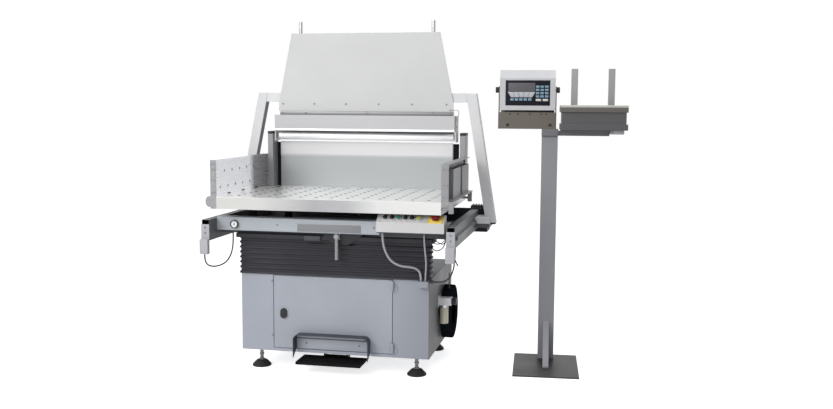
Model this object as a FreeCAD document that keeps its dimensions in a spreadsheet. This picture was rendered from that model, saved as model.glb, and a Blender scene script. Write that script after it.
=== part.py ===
import FreeCAD, Part
import ast
import math
import operator
import os
import re

import Sketcher

# Paper jogging machine with the counting scale stand that belongs to it.
# X runs along the front to the right, Y to the back, Z up. The origin is on the floor, in the middle of the
# machine's four feet. All sizes are millimetres and degrees.

SIZES = [
    # Fits and gaps shared by several pieces
    ("pin_clearance", 0.05, "radial clearance of shafts and pins in their bores"),
    ("seat_gap", 0.3, "gap between pieces that rest on each other and move"),
    # Base cabinet
    ("cabinet_width", 960, "outer width of the cabinet"),
    ("cabinet_depth", 660, "outer depth of the cabinet"),
    ("cabinet_bottom", 100, "height of the cabinet floor above the ground"),
    ("cabinet_height", 390, "height of the cabinet"),
    ("cabinet_sheet", 3, "sheet thickness of the cabinet walls"),
    ("cabinet_floor", 16, "thickness of the cabinet floor frame"),
    ("mouth_margin", 30, "room round trestle and tilt cylinder in the cabinet top"),
    ("jamb_depth", 20, "depth of the flanges beside the doorway"),
    ("entry_size", 30, "side of the cable entry on the front panel"),
    ("entry_drop", 2, "top of the cable entry below the cabinet top"),
    ("entry_inset", 28, "middle of the cable entry from the right cabinet wall"),
    ("entry_pitch", 22, "distance between the two conduits in the cable entry"),
    ("gland_radius", 9, "radius of the cable glands"),
    ("gland_length", 16, "length of the cable glands"),
    ("side_gland_drop", 12, "side gland axis below the cabinet top"),
    ("side_gland_inset", 30, "side gland axis behind the cabinet front"),
    # Feet
    ("foot_inset", 75, "foot centre from the cabinet walls"),
    ("pad_radius", 48, "radius of the foot pads on the floor"),
    ("pad_top_radius", 26, "radius of the foot pads at their top"),
    ("pad_rim", 8, "height of the straight rim of a foot pad"),
    ("pad_height", 30, "height of a foot pad"),
    ("stud_radius", 9, "radius of the levelling studs"),
    ("nut_radius", 17, "corner radius of the lock nuts"),
    ("nut_height", 13, "height of the lock nuts"),
    # Door
    ("door_width", 606, "width of the door"),
    ("door_offset", -7, "middle of the door from the cabinet middle"),
    ("door_gap", 3, "gap round the door"),
    ("door_sill", 18, "door bottom above the cabinet bottom"),
    ("door_head", 6, "door top below the cabinet top"),
    ("door_pan", 18, "depth of the folded door pan"),
    ("door_sheet", 2, "sheet thickness of the door"),
    ("hinge_pin_radius", 4, "radius of the hinge pins"),
    ("hinge_barrel_radius", 7, "outer radius of the hinge barrels"),
    ("hinge_length", 50, "length of a hinge"),
    ("hinge_inset", 4, "hinge from the door's top and bottom edges"),
    ("hinge_standoff", 8, "hinge axis in front of the door face"),
    ("hinge_leaf", 24, "width of a hinge leaf"),
    ("leaf_sheet", 3, "thickness of a hinge leaf"),
    ("latch_inset", 52, "latch axis from the door's free edge"),
    ("latch_height", 194, "latch axis above the cabinet bottom"),
    ("latch_width", 33, "width of the oval latch handle"),
    ("latch_length", 50, "length of the oval latch handle"),
    ("latch_thick", 9, "thickness of the latch handle"),
    ("latch_shaft_radius", 6, "radius of the latch shaft"),
    ("cam_length", 62, "reach of the latch cam"),
    ("cam_width", 16, "width of the latch cam"),
    ("cam_thick", 3, "thickness of the latch cam"),
    # Foot guard and pedal
    ("guard_width", 382, "width of the foot guard"),
    ("guard_offset", -4, "middle of the foot guard from the cabinet middle"),
    ("guard_height", 100, "top of the foot guard above the cabinet bottom"),
    ("guard_depth", 55, "reach of the foot guard from the door"),
    ("guard_sheet", 2.5, "sheet thickness of the foot guard"),
    ("guard_tip", 18, "guard tips below the cabinet bottom"),
    ("guard_foot", 20, "lower edge of the guard's back plate above the cabinet bottom"),
    ("guard_corner", 26, "outer radius of the guard's top corners"),
    ("pedal_width", 330, "width of the pedal"),
    ("pedal_offset", -20, "middle of the pedal from the cabinet middle"),
    ("pedal_reach", 45, "pedal front edge ahead of the cabinet"),
    ("pedal_length", 145, "front to back length of the pedal plate"),
    ("pedal_thick", 14, "thickness of the pedal plate"),
    ("pedal_height", 48, "underside of the pedal above the floor"),
    ("pedal_neck", 110, "width of the neck that carries the pedal barrel"),
    ("pedal_neck_length", 24, "pedal axis behind the pedal plate"),
    ("pedal_barrel_radius", 9, "outer radius of the pedal barrel"),
    ("pedal_pin_radius", 5, "radius of the pedal pin"),
    ("lug_thick", 10, "thickness of the pedal lugs"),
    ("lug_width", 32, "front to back width of the pedal lugs"),
    # Blower on the right wall
    ("blower_radius", 140, "outer radius of the blower housing"),
    ("blower_depth", 50, "depth of the blower housing"),
    ("blower_back", 110, "blower axis behind the middle"),
    ("blower_height", 250, "blower axis above the floor"),
    ("blower_wall", 3, "wall of the blower housing"),
    ("inlet_radius", 70, "radius of the air inlet"),
    ("impeller_radius", 110, "radius of the impeller"),
    ("impeller_plate", 4, "thickness of the impeller back plate"),
    ("blade_width", 22, "width of the impeller blades"),
    ("blade_length", 60, "radial length of the impeller blades"),
    ("blade_thick", 3, "thickness of the impeller blades"),
    ("blade_count", 12, "number of impeller blades"),
    ("blower_shaft_radius", 8, "radius of the impeller shaft"),
    ("blower_boss_radius", 20, "radius of the bearing boss"),
    ("blower_boss_length", 8, "length of the bearing boss"),
    ("blower_shaft_tail", 30, "impeller shaft length inside the cabinet"),
    # Filter regulator
    ("filter_front", 58, "filter axis ahead of the middle"),
    ("filter_height", 318, "underside of the filter body above the floor"),
    ("filter_length", 62, "length of the filter body"),
    ("filter_width", 44, "width of the filter body"),
    ("filter_rise", 38, "height of the filter body"),
    ("filter_plate", 4, "thickness of the filter's wall bracket"),
    ("filter_plate_margin", 9, "wall bracket beyond the filter body"),
    ("bowl_radius", 22, "outer radius of the filter bowl"),
    ("bowl_height", 82, "height of the filter bowl"),
    ("bowl_wall", 2, "wall of the filter bowl"),
    ("bowl_neck", 14, "height of the neck over the bowl"),
    ("knob_radius", 18, "radius of the regulator knob"),
    ("knob_length", 24, "length of the regulator knob"),
    ("knob_stub_radius", 6, "radius of the regulator stub"),
    ("knob_stub", 13, "length of the regulator stub"),
    # Tilt pivot and cylinder
    ("pivot_height", 560, "tilt axis above the floor"),
    ("pivot_spread", 280, "inner face of a trestle plate from the middle"),
    ("trestle_thick", 12, "thickness of a trestle plate"),
    ("trestle_width", 120, "front to back width of a trestle plate"),
    ("trestle_cap", 30, "trestle above the tilt axis"),
    ("tilt_shaft_radius", 15, "radius of the tilt shaft"),
    ("hub_thick", 20, "thickness of the deck hubs"),
    ("hub_width", 70, "front to back width of the deck hubs"),
    ("hub_gap", 4, "gap between trestle and hub"),
    ("hub_drop", 30, "deck hub below the tilt axis"),
    ("tilt_cylinder_front", 130, "tilt cylinder ahead of the tilt axis"),
    ("tilt_cylinder_radius", 32, "outer radius of the tilt cylinder"),
    ("tilt_cylinder_length", 330, "length of the tilt cylinder"),
    ("tilt_cylinder_base", 24, "solid foot of the tilt cylinder"),
    ("tilt_rod_radius", 14, "radius of the tilt rod"),
    ("tilt_rod_lift", 10, "rod end above the cylinder's solid foot"),
    # Bellows
    ("bellows_depth", 60, "depth of the bellows behind the cabinet front"),
    ("bellows_overhang", 9, "pleat ridges beyond the cabinet walls"),
    ("bellows_pleat", 17, "depth of the pleats"),
    ("bellows_wall", 6, "bellows material behind the pleat valleys"),
    ("bellows_pleats", 7, "number of pleats"),
    ("bellows_foot", 6, "height of the bellows foot band"),
    ("bellows_collar", 20, "height of the bellows collar"),
    ("collar_overhang", 22, "bellows collar beyond the cabinet walls"),
    # Tilting frame
    ("deck_drop", 188, "underside of the deck plate below the table surface"),
    ("deck_thick", 12, "thickness of the deck plate"),
    ("side_gap", 29, "table edge to the inner face of a side beam"),
    ("side_beam_width", 40, "width of a side beam"),
    ("side_beam_height", 102, "height of a side beam"),
    ("side_beam_drop", 212, "underside of a side beam below the table surface"),
    ("side_beam_wall", 4, "wall of a side beam"),
    ("side_beam_lead", 20, "side beams ahead of the table front"),
    ("side_beam_length", 815, "length of a side beam"),
    ("rail_depth", 12, "depth of the travel rails"),
    ("rail_size", 20, "height of the travel rails"),
    ("rail_drop", 174, "underside of the travel rails below the table surface"),
    ("beam_setback", 69, "front beam behind the table front"),
    ("beam_drop", 170, "underside of the front beam below the table surface"),
    ("beam_height", 67, "height of the front beam"),
    ("beam_depth", 60, "depth of the front beam"),
    ("beam_sheet", 4, "sheet thickness of the front beam"),
    ("beam_edge", 5, "edge radius of the front beam"),
    ("gauge_side", 489, "gauge axis left of the middle"),
    ("gauge_rise", 32, "gauge axis above the front beam's underside"),
    ("gauge_radius", 20, "radius of the gauge case"),
    ("gauge_depth", 14, "depth of the gauge case"),
    ("dial_radius", 17, "radius of the gauge dial"),
    ("dial_recess", 5, "depth of the gauge dial"),
    ("needle_length", 13, "length of the gauge needle"),
    ("needle_width", 1.6, "width of the gauge needle"),
    ("needle_hub_radius", 3, "radius of the needle hub"),
    ("needle_thick", 1.6, "thickness of the needle"),
    ("needle_pin_radius", 1, "radius of the needle pin"),
    ("needle_pin", 7, "length of the needle pin"),
    ("lever_side", 29, "knee lever right of the middle"),
    ("lever_drop", 16, "knee lever axis below the front beam"),
    ("lever_radius", 9, "radius of the knee lever"),
    ("lever_length", 113, "length of the knee lever"),
    ("lever_head_radius", 13, "radius of the knee lever head"),
    ("lever_head", 20, "length of the knee lever head"),
    ("lever_pin_radius", 5, "radius of the knee lever pin"),
    ("lever_lug", 6, "thickness of the knee lever lug"),
    ("lever_back", 22, "lug face behind the front beam's front"),
    # Control box
    ("box_end_gap", 14, "control box from the right side beam"),
    ("box_width", 326, "width of the control box"),
    ("box_rise", 24, "underside of the control box above the front beam's underside"),
    ("box_depth", 64, "control box ahead of the front beam"),
    ("box_face", 48, "height of the control box front"),
    ("panel_run", 42, "depth of the sloping switch panel"),
    ("panel_rise", 33, "rise of the sloping switch panel"),
    ("switch_first", 41, "first switch from the left end of the control box"),
    ("switch_pitch", 32.4, "distance between switches"),
    ("bezel_radius", 14.5, "radius of a switch bezel"),
    ("bezel_height", 3, "height of a switch bezel"),
    ("switch_shaft_radius", 6, "radius of a switch shaft"),
    ("switch_shaft", 20, "length of a switch shaft"),
    ("switch_bore", 24, "depth of a switch bore"),
    ("knob_disc_radius", 11, "radius of a selector"),
    ("knob_disc", 7, "height of a selector disc"),
    ("knob_grip", 9, "height of a selector grip"),
    ("knob_grip_width", 6, "width of a selector grip"),
    ("button_radius", 11, "radius of a push button"),
    ("button_rise", 7.3, "underside of a push button above the panel"),
    ("button_cap", 5, "height of a push button cap"),
    ("estop_inset", 44, "emergency stop from the right end of the control box"),
    ("estop_bezel_radius", 21, "radius of the emergency stop bezel"),
    ("estop_bezel", 6, "height of the emergency stop bezel"),
    ("estop_neck_radius", 11, "radius of the emergency stop neck"),
    ("estop_rise", 12, "underside of the mushroom above the panel"),
    ("estop_radius", 20, "radius of the mushroom"),
    ("estop_cap", 13, "height of the mushroom"),
    # Sensor brackets and travel motor
    ("sensor_plate", 4, "thickness of the sensor plates"),
    ("sensor_low_drop", 277, "lower end of the sensor plates below the table surface"),
    ("sensor_high_drop", 132, "upper end of the sensor plates below the table surface"),
    ("sensor_overlap", 2, "sensor plates beyond the side beams"),
    ("sensor_box_depth", 22, "depth of the sensor boxes"),
    ("sensor_box_height", 74, "height of the sensor boxes"),
    ("motor_width", 92, "width of the travel motor"),
    ("motor_length", 130, "length of the travel motor"),
    ("motor_height", 128, "height of the travel motor"),
    ("motor_drop", 234, "underside of the travel motor below the table surface"),
    ("motor_inset", 4, "travel motor inside the side beam's inner face"),
    ("fin_height", 15, "height of the cooling fins"),
    ("fin_thick", 4, "thickness of the cooling fins"),
    ("fin_count", 7, "number of cooling fins"),
    # Table
    ("table_width", 1110, "width of the table"),
    ("table_depth", 767, "depth of the table"),
    ("table_front", 455, "table front ahead of the middle"),
    ("table_height", 880, "table surface above the floor"),
    ("table_sheet", 6, "thickness of the table plate"),
    ("apron_height", 58, "height of the table apron"),
    ("apron_sheet", 3, "sheet thickness of the table apron"),
    ("air_hole_radius", 4, "radius of the air holes"),
    ("air_hole_pitch", 80, "distance between air holes"),
    ("air_hole_margin", 75, "air holes from the table edges"),
    ("mount_side", 430, "rubber mounts from the middle"),
    ("mount_front", 300, "front rubber mounts ahead of the middle"),
    ("mount_back", 240, "rear rubber mounts behind the middle"),
    ("mount_post_radius", 22, "radius of the mount posts"),
    ("mount_radius", 28, "radius of the rubber mounts"),
    ("mount_height", 40, "height of the rubber mounts"),
    # Fences
    ("fence_thick", 30, "width of a fence"),
    ("fence_height", 180, "height of the fences above the table"),
    ("fence_length", 668, "length of the right fence"),
    ("left_fence_length", 738, "length of the left fence"),
    ("fence_round", 26, "radius of the left fence's upper rear corner"),
    ("fence_sheet", 3, "sheet thickness of the fences"),
    ("fence_lip", 5, "flanges of the right fence beyond its width"),
    ("fence_hole_radius", 7, "radius of the fence holes"),
    ("fence_hole_pitch", 97, "distance between fence holes"),
    ("fence_hole_first", 52, "first lower fence hole from the fence front"),
    ("fence_hole_shift", 53, "upper fence holes behind the lower ones"),
    ("fence_hole_low", 46, "lower fence holes above the table"),
    ("fence_hole_high", 123, "upper fence holes above the table"),
    ("fence_slot_length", 44, "length of the air slots"),
    ("fence_slot_height", 7, "height of the air slots"),
    ("fence_slot_pitch", 187, "distance between air slots"),
    ("fence_slot_first", 139, "first air slot from the fence front"),
    ("ear_reach", 26, "fence ears beyond the fence"),
    ("ear_height", 54, "height of the fence ears"),
    ("ear_round", 22, "corner radius of the left fence ear"),
    ("ear_top", 4, "top of the fence ears above the table"),
    ("ear_length", 24, "front to back length of a right fence ear"),
    ("ear_rear", 40, "rear ear from the rear end of the fence"),
    ("fence_lift", 1, "right fence above the table"),
    ("fence_foot", 35, "right fence ears outside the table edge"),
    ("guide_pin_radius", 6, "radius of the fence guide pins"),
    ("guide_pin_length", 90, "length of the fence guide pins"),
    ("guide_pin_drop", 30, "guide pins below the table surface"),
    ("stiffener_first", 150, "first outer stiffener from the fence front"),
    ("stiffener_length", 220, "length of an outer stiffener"),
    ("stiffener_step", 280, "distance between outer stiffeners"),
    ("stiffener_height", 146, "height of an outer stiffener"),
    # Rear stop
    ("post_width", 30, "width of a corner post"),
    ("post_depth", 90, "depth of a corner post"),
    ("post_height", 292, "height of a corner post"),
    ("post_inset", 3, "corner post from the table's side edge"),
    ("post_rear", 7, "corner post from the table's rear edge"),
    ("strip_gap", 35, "gap between corner post and rear plate"),
    ("rear_sheet", 3, "sheet thickness of the rear plate"),
    ("rear_height", 250, "height of the rear plate"),
    ("rear_inset", 27, "rear plate from the table's rear edge"),
    ("rear_band", 74, "height of the rear plate's upper band"),
    ("rear_flange", 22, "depth of the rear plate's side flanges"),
    # Vibrator
    ("vibrator_front", 100, "vibrator ahead of the middle"),
    ("vibrator_drop", 62, "vibrator axis below the table plate"),
    ("vibrator_radius", 45, "radius of the vibrator motor"),
    ("vibrator_length", 140, "length of the vibrator motor"),
    ("vibrator_foot", 80, "side of the vibrator foot"),
    ("rotor_shaft_radius", 8, "radius of the rotor shaft"),
    ("rotor_shaft", 220, "length of the rotor shaft"),
    ("weight_radius", 35, "radius of the eccentric weights"),
    ("weight_thick", 22, "thickness of the eccentric weights"),
    ("weight_gap", 8, "eccentric weights from the vibrator motor"),
    # Gantry
    ("gantry_side", 14, "gantry and corner posts right of the middle"),
    ("gantry_back", 250, "gantry behind the middle"),
    ("gantry_rise", 516, "top of the crossbar above the table surface"),
    ("crossbar_height", 48, "height of the crossbar"),
    ("crossbar_depth", 50, "depth of the crossbar and legs"),
    ("leg_width", 54, "width of a leg"),
    ("leg_top_reach", 51, "outer top corner of a leg outside the table edge"),
    ("leg_foot_reach", 108, "outer foot corner of a leg outside the side beam"),
    ("leg_foot_drop", 168, "lower end of a leg below the table surface"),
    ("carriage_length", 150, "length of a carriage"),
    ("carriage_height", 52, "height of a carriage"),
    ("carriage_low", 16, "carriage below the travel rail"),
    ("carriage_gap", 1, "gap between carriage and side beam"),
    ("slide_gap", 0.4, "gap between carriage and travel rail"),
    ("board_top_half", 411, "half width of the board at its top"),
    ("board_low_half", 487, "half width of the board at its foot"),
    ("board_step", 3, "board narrower at the top of its upright foot"),
    ("board_foot", 52, "height of the board's upright foot"),
    ("board_rise", 417, "underside of the board above the table surface"),
    ("board_height", 419, "height of the board"),
    ("board_thick", 8, "thickness of the board"),
    ("rod_spread", 369, "guide rods from the middle"),
    ("guide_rod_radius", 10, "radius of the guide rods"),
    ("guide_rod_rise", 900, "top of the guide rods above the table surface"),
    ("bush_radius", 18, "radius of the guide bushes"),
    ("bush_length", 18, "length of the guide bushes below the crossbar"),
    ("lift_radius", 24, "outer radius of the lift cylinder"),
    ("lift_bore", 19, "bore radius of the lift cylinder"),
    ("lift_length", 304, "length of the lift cylinder"),
    ("lift_cap", 14, "thickness of the lift cylinder's ends"),
    ("lift_rod_radius", 10, "radius of the lift rod"),
    ("piston_length", 20, "length of the lift piston"),
    ("piston_room", 12, "lift piston from the cylinder's upper end"),
    # Press head
    ("head_gap", 0.5, "press beam below the board"),
    ("press_beam_height", 20, "height of the press beam"),
    ("press_beam_half", 480, "half length of the press beam"),
    ("hood_clearance", 17, "hood ends from the corner posts"),
    ("hood_front", 65, "hood front ahead of the gantry middle"),
    ("hood_depth", 90, "depth of the hood"),
    ("hood_height", 83, "height of the hood"),
    ("hood_sheet", 3, "sheet thickness of the hood"),
    ("hood_edge_radius", 5, "radius of the rolled lower edge of the hood"),
    ("end_plate", 7, "thickness of the hood end plates"),
    ("end_plate_width", 70, "width of the hood end plates"),
    ("end_plate_margin", 4, "end plates below the roller"),
    ("roller_radius", 23, "radius of the press roller"),
    ("roller_front", 15, "roller axis ahead of the gantry middle"),
    ("roller_drop", 113, "roller axis below the hood top"),
    ("roller_end_gap", 10, "roller ends from the hood end plates"),
    ("journal_radius", 8, "radius of the roller journals"),
    # Counting scale stand
    ("stand_right", 1020, "stand right of the middle"),
    ("stand_back", 39, "stand behind the middle"),
    ("stand_turn", 4, "turn of the stand against the machine"),
    ("stand_width", 327, "width of the stand plate"),
    ("stand_depth", 425, "depth of the stand plate"),
    ("stand_plate", 8, "thickness of the stand plate"),
    ("column_size", 82, "side of the column"),
    ("column_wall", 4, "wall of the column"),
    ("column_back", 150, "column behind the stand plate's middle"),
    ("column_top", 1180, "top of the column above the floor"),
    ("gusset_thick", 30, "thickness of the gusset"),
    ("gusset_length", 185, "length of the gusset"),
    ("gusset_height", 203, "height of the gusset"),
    ("gusset_toe", 12, "height of the gusset's toe"),
    ("head_half", 42, "half width of the stand head"),
    ("head_depth", 110, "depth of the stand head"),
    ("head_height", 34, "height of the stand head"),
    ("arm_length", 259, "length of the scale arm"),
    ("arm_depth", 60, "depth of the scale arm"),
    ("arm_height", 25, "height of the scale arm"),
    ("scale_gap", 8, "scale right of the stand head"),
    ("scale_width", 333, "width of the scale"),
    ("scale_depth", 300, "depth of the scale"),
    ("scale_low_height", 30, "height of the scale's lower body"),
    ("scale_up_height", 59, "height of the scale's upper body"),
    ("scale_inset", 8, "upper scale body inside the lower one"),
    ("scale_foot_radius", 16, "radius of the scale feet"),
    ("scale_foot_height", 6, "height of the scale feet"),
    ("pan_height", 36, "height of the scale pan"),
    ("pan_sheet", 3, "sheet thickness of the scale pan"),
    ("pan_hub", 110, "side of the hub under the scale pan"),
    ("pan_post_width", 34, "width of a pan post"),
    ("pan_post_thick", 6, "thickness of a pan post"),
    ("pan_post_height", 186, "height of a pan post"),
    ("pan_post_inset", 56, "pan posts from the pan's sides"),
    ("pan_post_shift", 2, "pan posts left of their even places"),
    ("indicator_width", 282, "width of the indicator case"),
    ("indicator_left", 117, "indicator left of the column"),
    ("indicator_depth", 90, "depth of the indicator case"),
    ("indicator_front", 60, "indicator front ahead of the column middle"),
    ("indicator_height", 205, "height of the indicator case"),
    ("indicator_brow", 43, "height of the sloping top band"),
    ("indicator_slope", 30, "depth of the sloping top band"),
    ("indicator_gap", 10, "indicator case above its bracket"),
    ("bracket_height", 85, "height of the bracket skirt above the stand head"),
    ("bracket_sheet", 5, "thickness of the bracket"),
    ("bracket_depth", 80, "depth of the bracket"),
    ("bracket_gap", 2, "bracket arms from the indicator case"),
    ("bracket_arm_width", 36, "width of a bracket arm"),
    ("hinge_rise", 104, "indicator hinge above the indicator's underside"),
    ("hinge_back", 50, "indicator hinge behind the indicator's front"),
    ("hinge_stub_radius", 5, "radius of the indicator hinge stubs"),
    ("clamp_radius", 15, "radius of the clamp knobs"),
    ("clamp_length", 16, "length of the clamp knobs"),
    # Cables
    ("conduit_radius", 5.5, "radius of the long conduit"),
    ("thin_conduit_radius", 4, "radius of the short conduit"),
    ("cable_radius", 3.5, "radius of the sensor and supply cables"),
]

doc = FreeCAD.newDocument("paper_jogger")
sheet = doc.addObject("Spreadsheet::Sheet", "Sizes")
for row, (alias, size, meaning) in enumerate(SIZES, start=1):
    sheet.set("A%d" % row, meaning)
    sheet.set("B%d" % row, str(size))
    sheet.setAlias("B%d" % row, alias)
doc.recompute()

# Places of the tilting frame and the gantry, which go with the table
PLACES = {
    "deck_height": "table_height - deck_drop",
    "side_beam_bottom": "table_height - side_beam_drop",
    "rail_height": "table_height - rail_drop",
    "beam_bottom": "table_height - beam_drop",
    "sensor_low": "table_height - sensor_low_drop",
    "sensor_high": "table_height - sensor_high_drop",
    "motor_bottom": "table_height - motor_drop",
    "leg_foot": "table_height - leg_foot_drop",
    "gantry_top": "table_height + gantry_rise",
    "board_bottom": "table_height + board_rise",
    "guide_rod_top": "table_height + guide_rod_rise",
    "box_left": "table_width / 2 + side_gap - box_end_gap - box_width",
}
NAMES = {alias for alias, size, meaning in SIZES}
WORD = re.compile(r"[a-z_][a-z_0-9]*")
ACTIONS = {ast.Add: operator.add, ast.Sub: operator.sub, ast.Mult: operator.mul, ast.Div: operator.truediv}
AXES = {"x": FreeCAD.Rotation(FreeCAD.Vector(0, 1, 0), 90),
        "y": FreeCAD.Rotation(FreeCAD.Vector(1, 0, 0), -90),
        "z": FreeCAD.Rotation()}
UP = FreeCAD.Vector(0, 0, 1)
PIECES = []


def in_sizes(text):
    """The same formula with every named place written out in sizes."""
    def written_out(word):
        name = word.group(0)
        return "(" + PLACES[name] + ")" if name in PLACES else name

    return WORD.sub(written_out, text)


def formula(text):
    """The same formula with every size name pointing at the sheet."""
    text = in_sizes(text)
    return WORD.sub(lambda word: "Sizes." + word.group(0) if word.group(0) in NAMES else word.group(0), text)


def measure(term):
    if isinstance(term, ast.BinOp):
        return ACTIONS[type(term.op)](measure(term.left), measure(term.right))
    if isinstance(term, ast.UnaryOp):
        return -measure(term.operand)
    if isinstance(term, ast.Name):
        return float(sheet.get(term.id))
    return float(term.value)


def number(text):
    """The value of a formula of sizes, for the places that need a plain number."""
    return measure(ast.parse(in_sizes(text).strip()).body[0].value)


def bind(item, **formulas):
    for name, text in formulas.items():
        item.setExpression(name, formula(text))
    return item


def at(item, x="0", y="0", z="0"):
    for axis, text in zip("xyz", (x, y, z)):
        item.setExpression("Placement.Base." + axis, formula(text))
    return item


def block(x, y, z, length, width, height):
    item = bind(doc.addObject("Part::Box", "block"), Length=length, Width=width, Height=height)
    return at(item, x, y, z)


def bar(x, y, z, radius, length, axis="z"):
    """Round bar that starts at x, y, z and runs along an axis."""
    item = bind(doc.addObject("Part::Cylinder", "bar"), Radius=radius, Height=length)
    item.Placement = FreeCAD.Placement(FreeCAD.Vector(), AXES[axis])
    return at(item, x, y, z)


def union(pieces):
    item = doc.addObject("Part::MultiFuse", "union")
    item.Shapes = pieces
    item.Refine = True
    return item


def bundle(pieces):
    item = doc.addObject("Part::Compound", "bundle")
    item.Links = pieces
    return item


def cut(base, tools):
    item = doc.addObject("Part::Cut", "cut")
    item.Base = base
    item.Tool = tools[0] if len(tools) == 1 else bundle(tools)
    item.Refine = True
    return item


def piece(label, item):
    item.Label = label
    PIECES.append(item)
    return item


def origin_plane(body, role):
    return next(feature for feature in body.Origin.OriginFeatures if feature.Role == role)


def sketch_on(body, role):
    sketch = body.newObject("Sketcher::SketchObject", "sketch")
    sketch.AttachmentSupport = [(origin_plane(body, role), "")]
    sketch.MapMode = "FlatFace"
    return sketch


def outline(sketch, corners):
    """Closed outline of straight lines whose corners are tied to the sheet."""
    spots = [FreeCAD.Vector(number(a), number(b), 0) for a, b in corners]
    count = len(spots)
    sketch.addGeometry([Part.LineSegment(spots[i], spots[(i + 1) % count]) for i in range(count)], False)
    links = [Sketcher.Constraint("Coincident", i, 2, (i + 1) % count, 1) for i in range(count)]
    sketch.addConstraint(links)
    for i, corner in enumerate(corners):
        for kind, text in zip(("DistanceX", "DistanceY"), corner):
            index = sketch.addConstraint(Sketcher.Constraint(kind, -1, 1, i, 1, number(text)))
            sketch.setExpression("Constraints[%d]" % index, formula(text))


def profile(role, corners, length):
    """Body padded from an outline: XZ outlines run towards -Y, YZ outlines towards +X."""
    body = doc.addObject("PartDesign::Body", "body")
    sketch = sketch_on(body, role)
    outline(sketch, corners)
    pad = body.newObject("PartDesign::Pad", "pad")
    pad.Profile = sketch
    bind(pad, Length=length)
    return body


def round_edges(body, radius, direction, spots):
    """Round the edges along a direction that pass through the given spots of the body's own frame."""
    doc.recompute()
    base = body.Tip
    names = []
    for index, edge in enumerate(base.Shape.Edges, start=1):
        if len(edge.Vertexes) != 2:
            continue
        run = edge.Vertexes[1].Point - edge.Vertexes[0].Point
        if run.cross(direction).Length > 1e-6:
            continue
        offsets = [(edge.Vertexes[0].Point - spot).cross(direction).Length for spot in spots]
        if min(offsets) < 1e-3:
            names.append("Edge%d" % index)
    fillet = body.newObject("PartDesign::Fillet", "rounding")
    fillet.Base = (base, names)
    bind(fillet, Radius=radius)
    return body


def mirrored(sign, inner, width):
    """Left corner of a block that spans from inner to inner + width on one side of the middle."""
    return inner if sign > 0 else "-(%s) - (%s)" % (inner, width)


# Places that several pieces share
CABINET_LEFT = "-cabinet_width / 2"
CABINET_RIGHT = "cabinet_width / 2"
CABINET_FRONT = "-cabinet_depth / 2"
CABINET_TOP = "cabinet_bottom + cabinet_height"
DOOR_LEFT = "door_offset - door_width / 2"
DOOR_RIGHT = "door_offset + door_width / 2"
DOOR_BOTTOM = "cabinet_bottom + door_sill"
DOOR_HEIGHT = "cabinet_height - door_sill - door_head"
HINGE_X = DOOR_RIGHT + " + door_gap"
HINGE_Y = CABINET_FRONT + " - hinge_standoff"
HINGE_LOWS = (DOOR_BOTTOM + " + hinge_inset",
              DOOR_BOTTOM + " + " + DOOR_HEIGHT + " - hinge_inset - hinge_length")
LATCH_X = DOOR_LEFT + " + latch_inset"
LATCH_Z = "cabinet_bottom + latch_height"
PEDAL_FRONT = CABINET_FRONT + " - pedal_reach"
PEDAL_AXIS_Y = PEDAL_FRONT + " + pedal_length + pedal_neck_length"
PEDAL_AXIS_Z = "pedal_height + pedal_thick / 2"
FILTER_X = CABINET_RIGHT + " + filter_plate"
KNOB_Z = "filter_height + filter_rise / 2"
DECK_TOP = "deck_height + deck_thick"
SIDE_IN = "table_width / 2 + side_gap"
SIDE_OUT = SIDE_IN + " + side_beam_width"
SIDE_FRONT = "-table_front - side_beam_lead"
SIDE_REAR = SIDE_FRONT + " + side_beam_length"
BEAM_FRONT = "-table_front + beam_setback"
BEAM_BACK = BEAM_FRONT + " + beam_depth"
BEAM_TOP = "beam_bottom + beam_height"
BOX_FRONT = BEAM_FRONT + " - box_depth"
BOX_BOTTOM = "beam_bottom + box_rise"
PANEL_Y = BOX_FRONT + " + panel_run / 2"
PANEL_Z = BOX_BOTTOM + " + box_face + panel_rise / 2"
TABLE_LEFT = "-table_width / 2"
TABLE_RIGHT = "table_width / 2"
TABLE_REAR = "table_depth - table_front"
APRON_BOTTOM = "table_height - apron_height"
PLATE_UNDER = "table_height - table_sheet"
FENCE_REAR = "fence_length - table_front"
LEFT_FENCE_REAR = "left_fence_length - table_front"
FENCE_TOP = "table_height + fence_height"
POST_IN = TABLE_RIGHT + " - post_inset - post_width"
ROD_PLACES = ("gantry_side + rod_spread", "gantry_side - rod_spread")
CROSSBAR_LOW = "gantry_top - crossbar_height"
CROSSBAR_FRONT = "gantry_back - crossbar_depth / 2"
HEAD_TOP = "board_bottom - head_gap"
HOOD_TOP = HEAD_TOP + " - press_beam_height"
HOOD_HALF = POST_IN + " - hood_clearance - end_plate"
HOOD_FRONT = "gantry_back - hood_front"
HOOD_LOW = HOOD_TOP + " - hood_height"
ROLLER_Y = "gantry_back - roller_front"
ROLLER_Z = HOOD_TOP + " - roller_drop"
HEAD_LEVEL = "column_top + head_height"
SCALE_LEFT = "head_half + scale_gap"
SCALE_LOW = "column_top + arm_height + scale_foot_height"
INDICATOR_X = "-indicator_left - indicator_width / 2"
INDICATOR_Y = "column_back - indicator_front"
INDICATOR_LOW = HEAD_LEVEL + " + bracket_height + indicator_gap"


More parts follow.
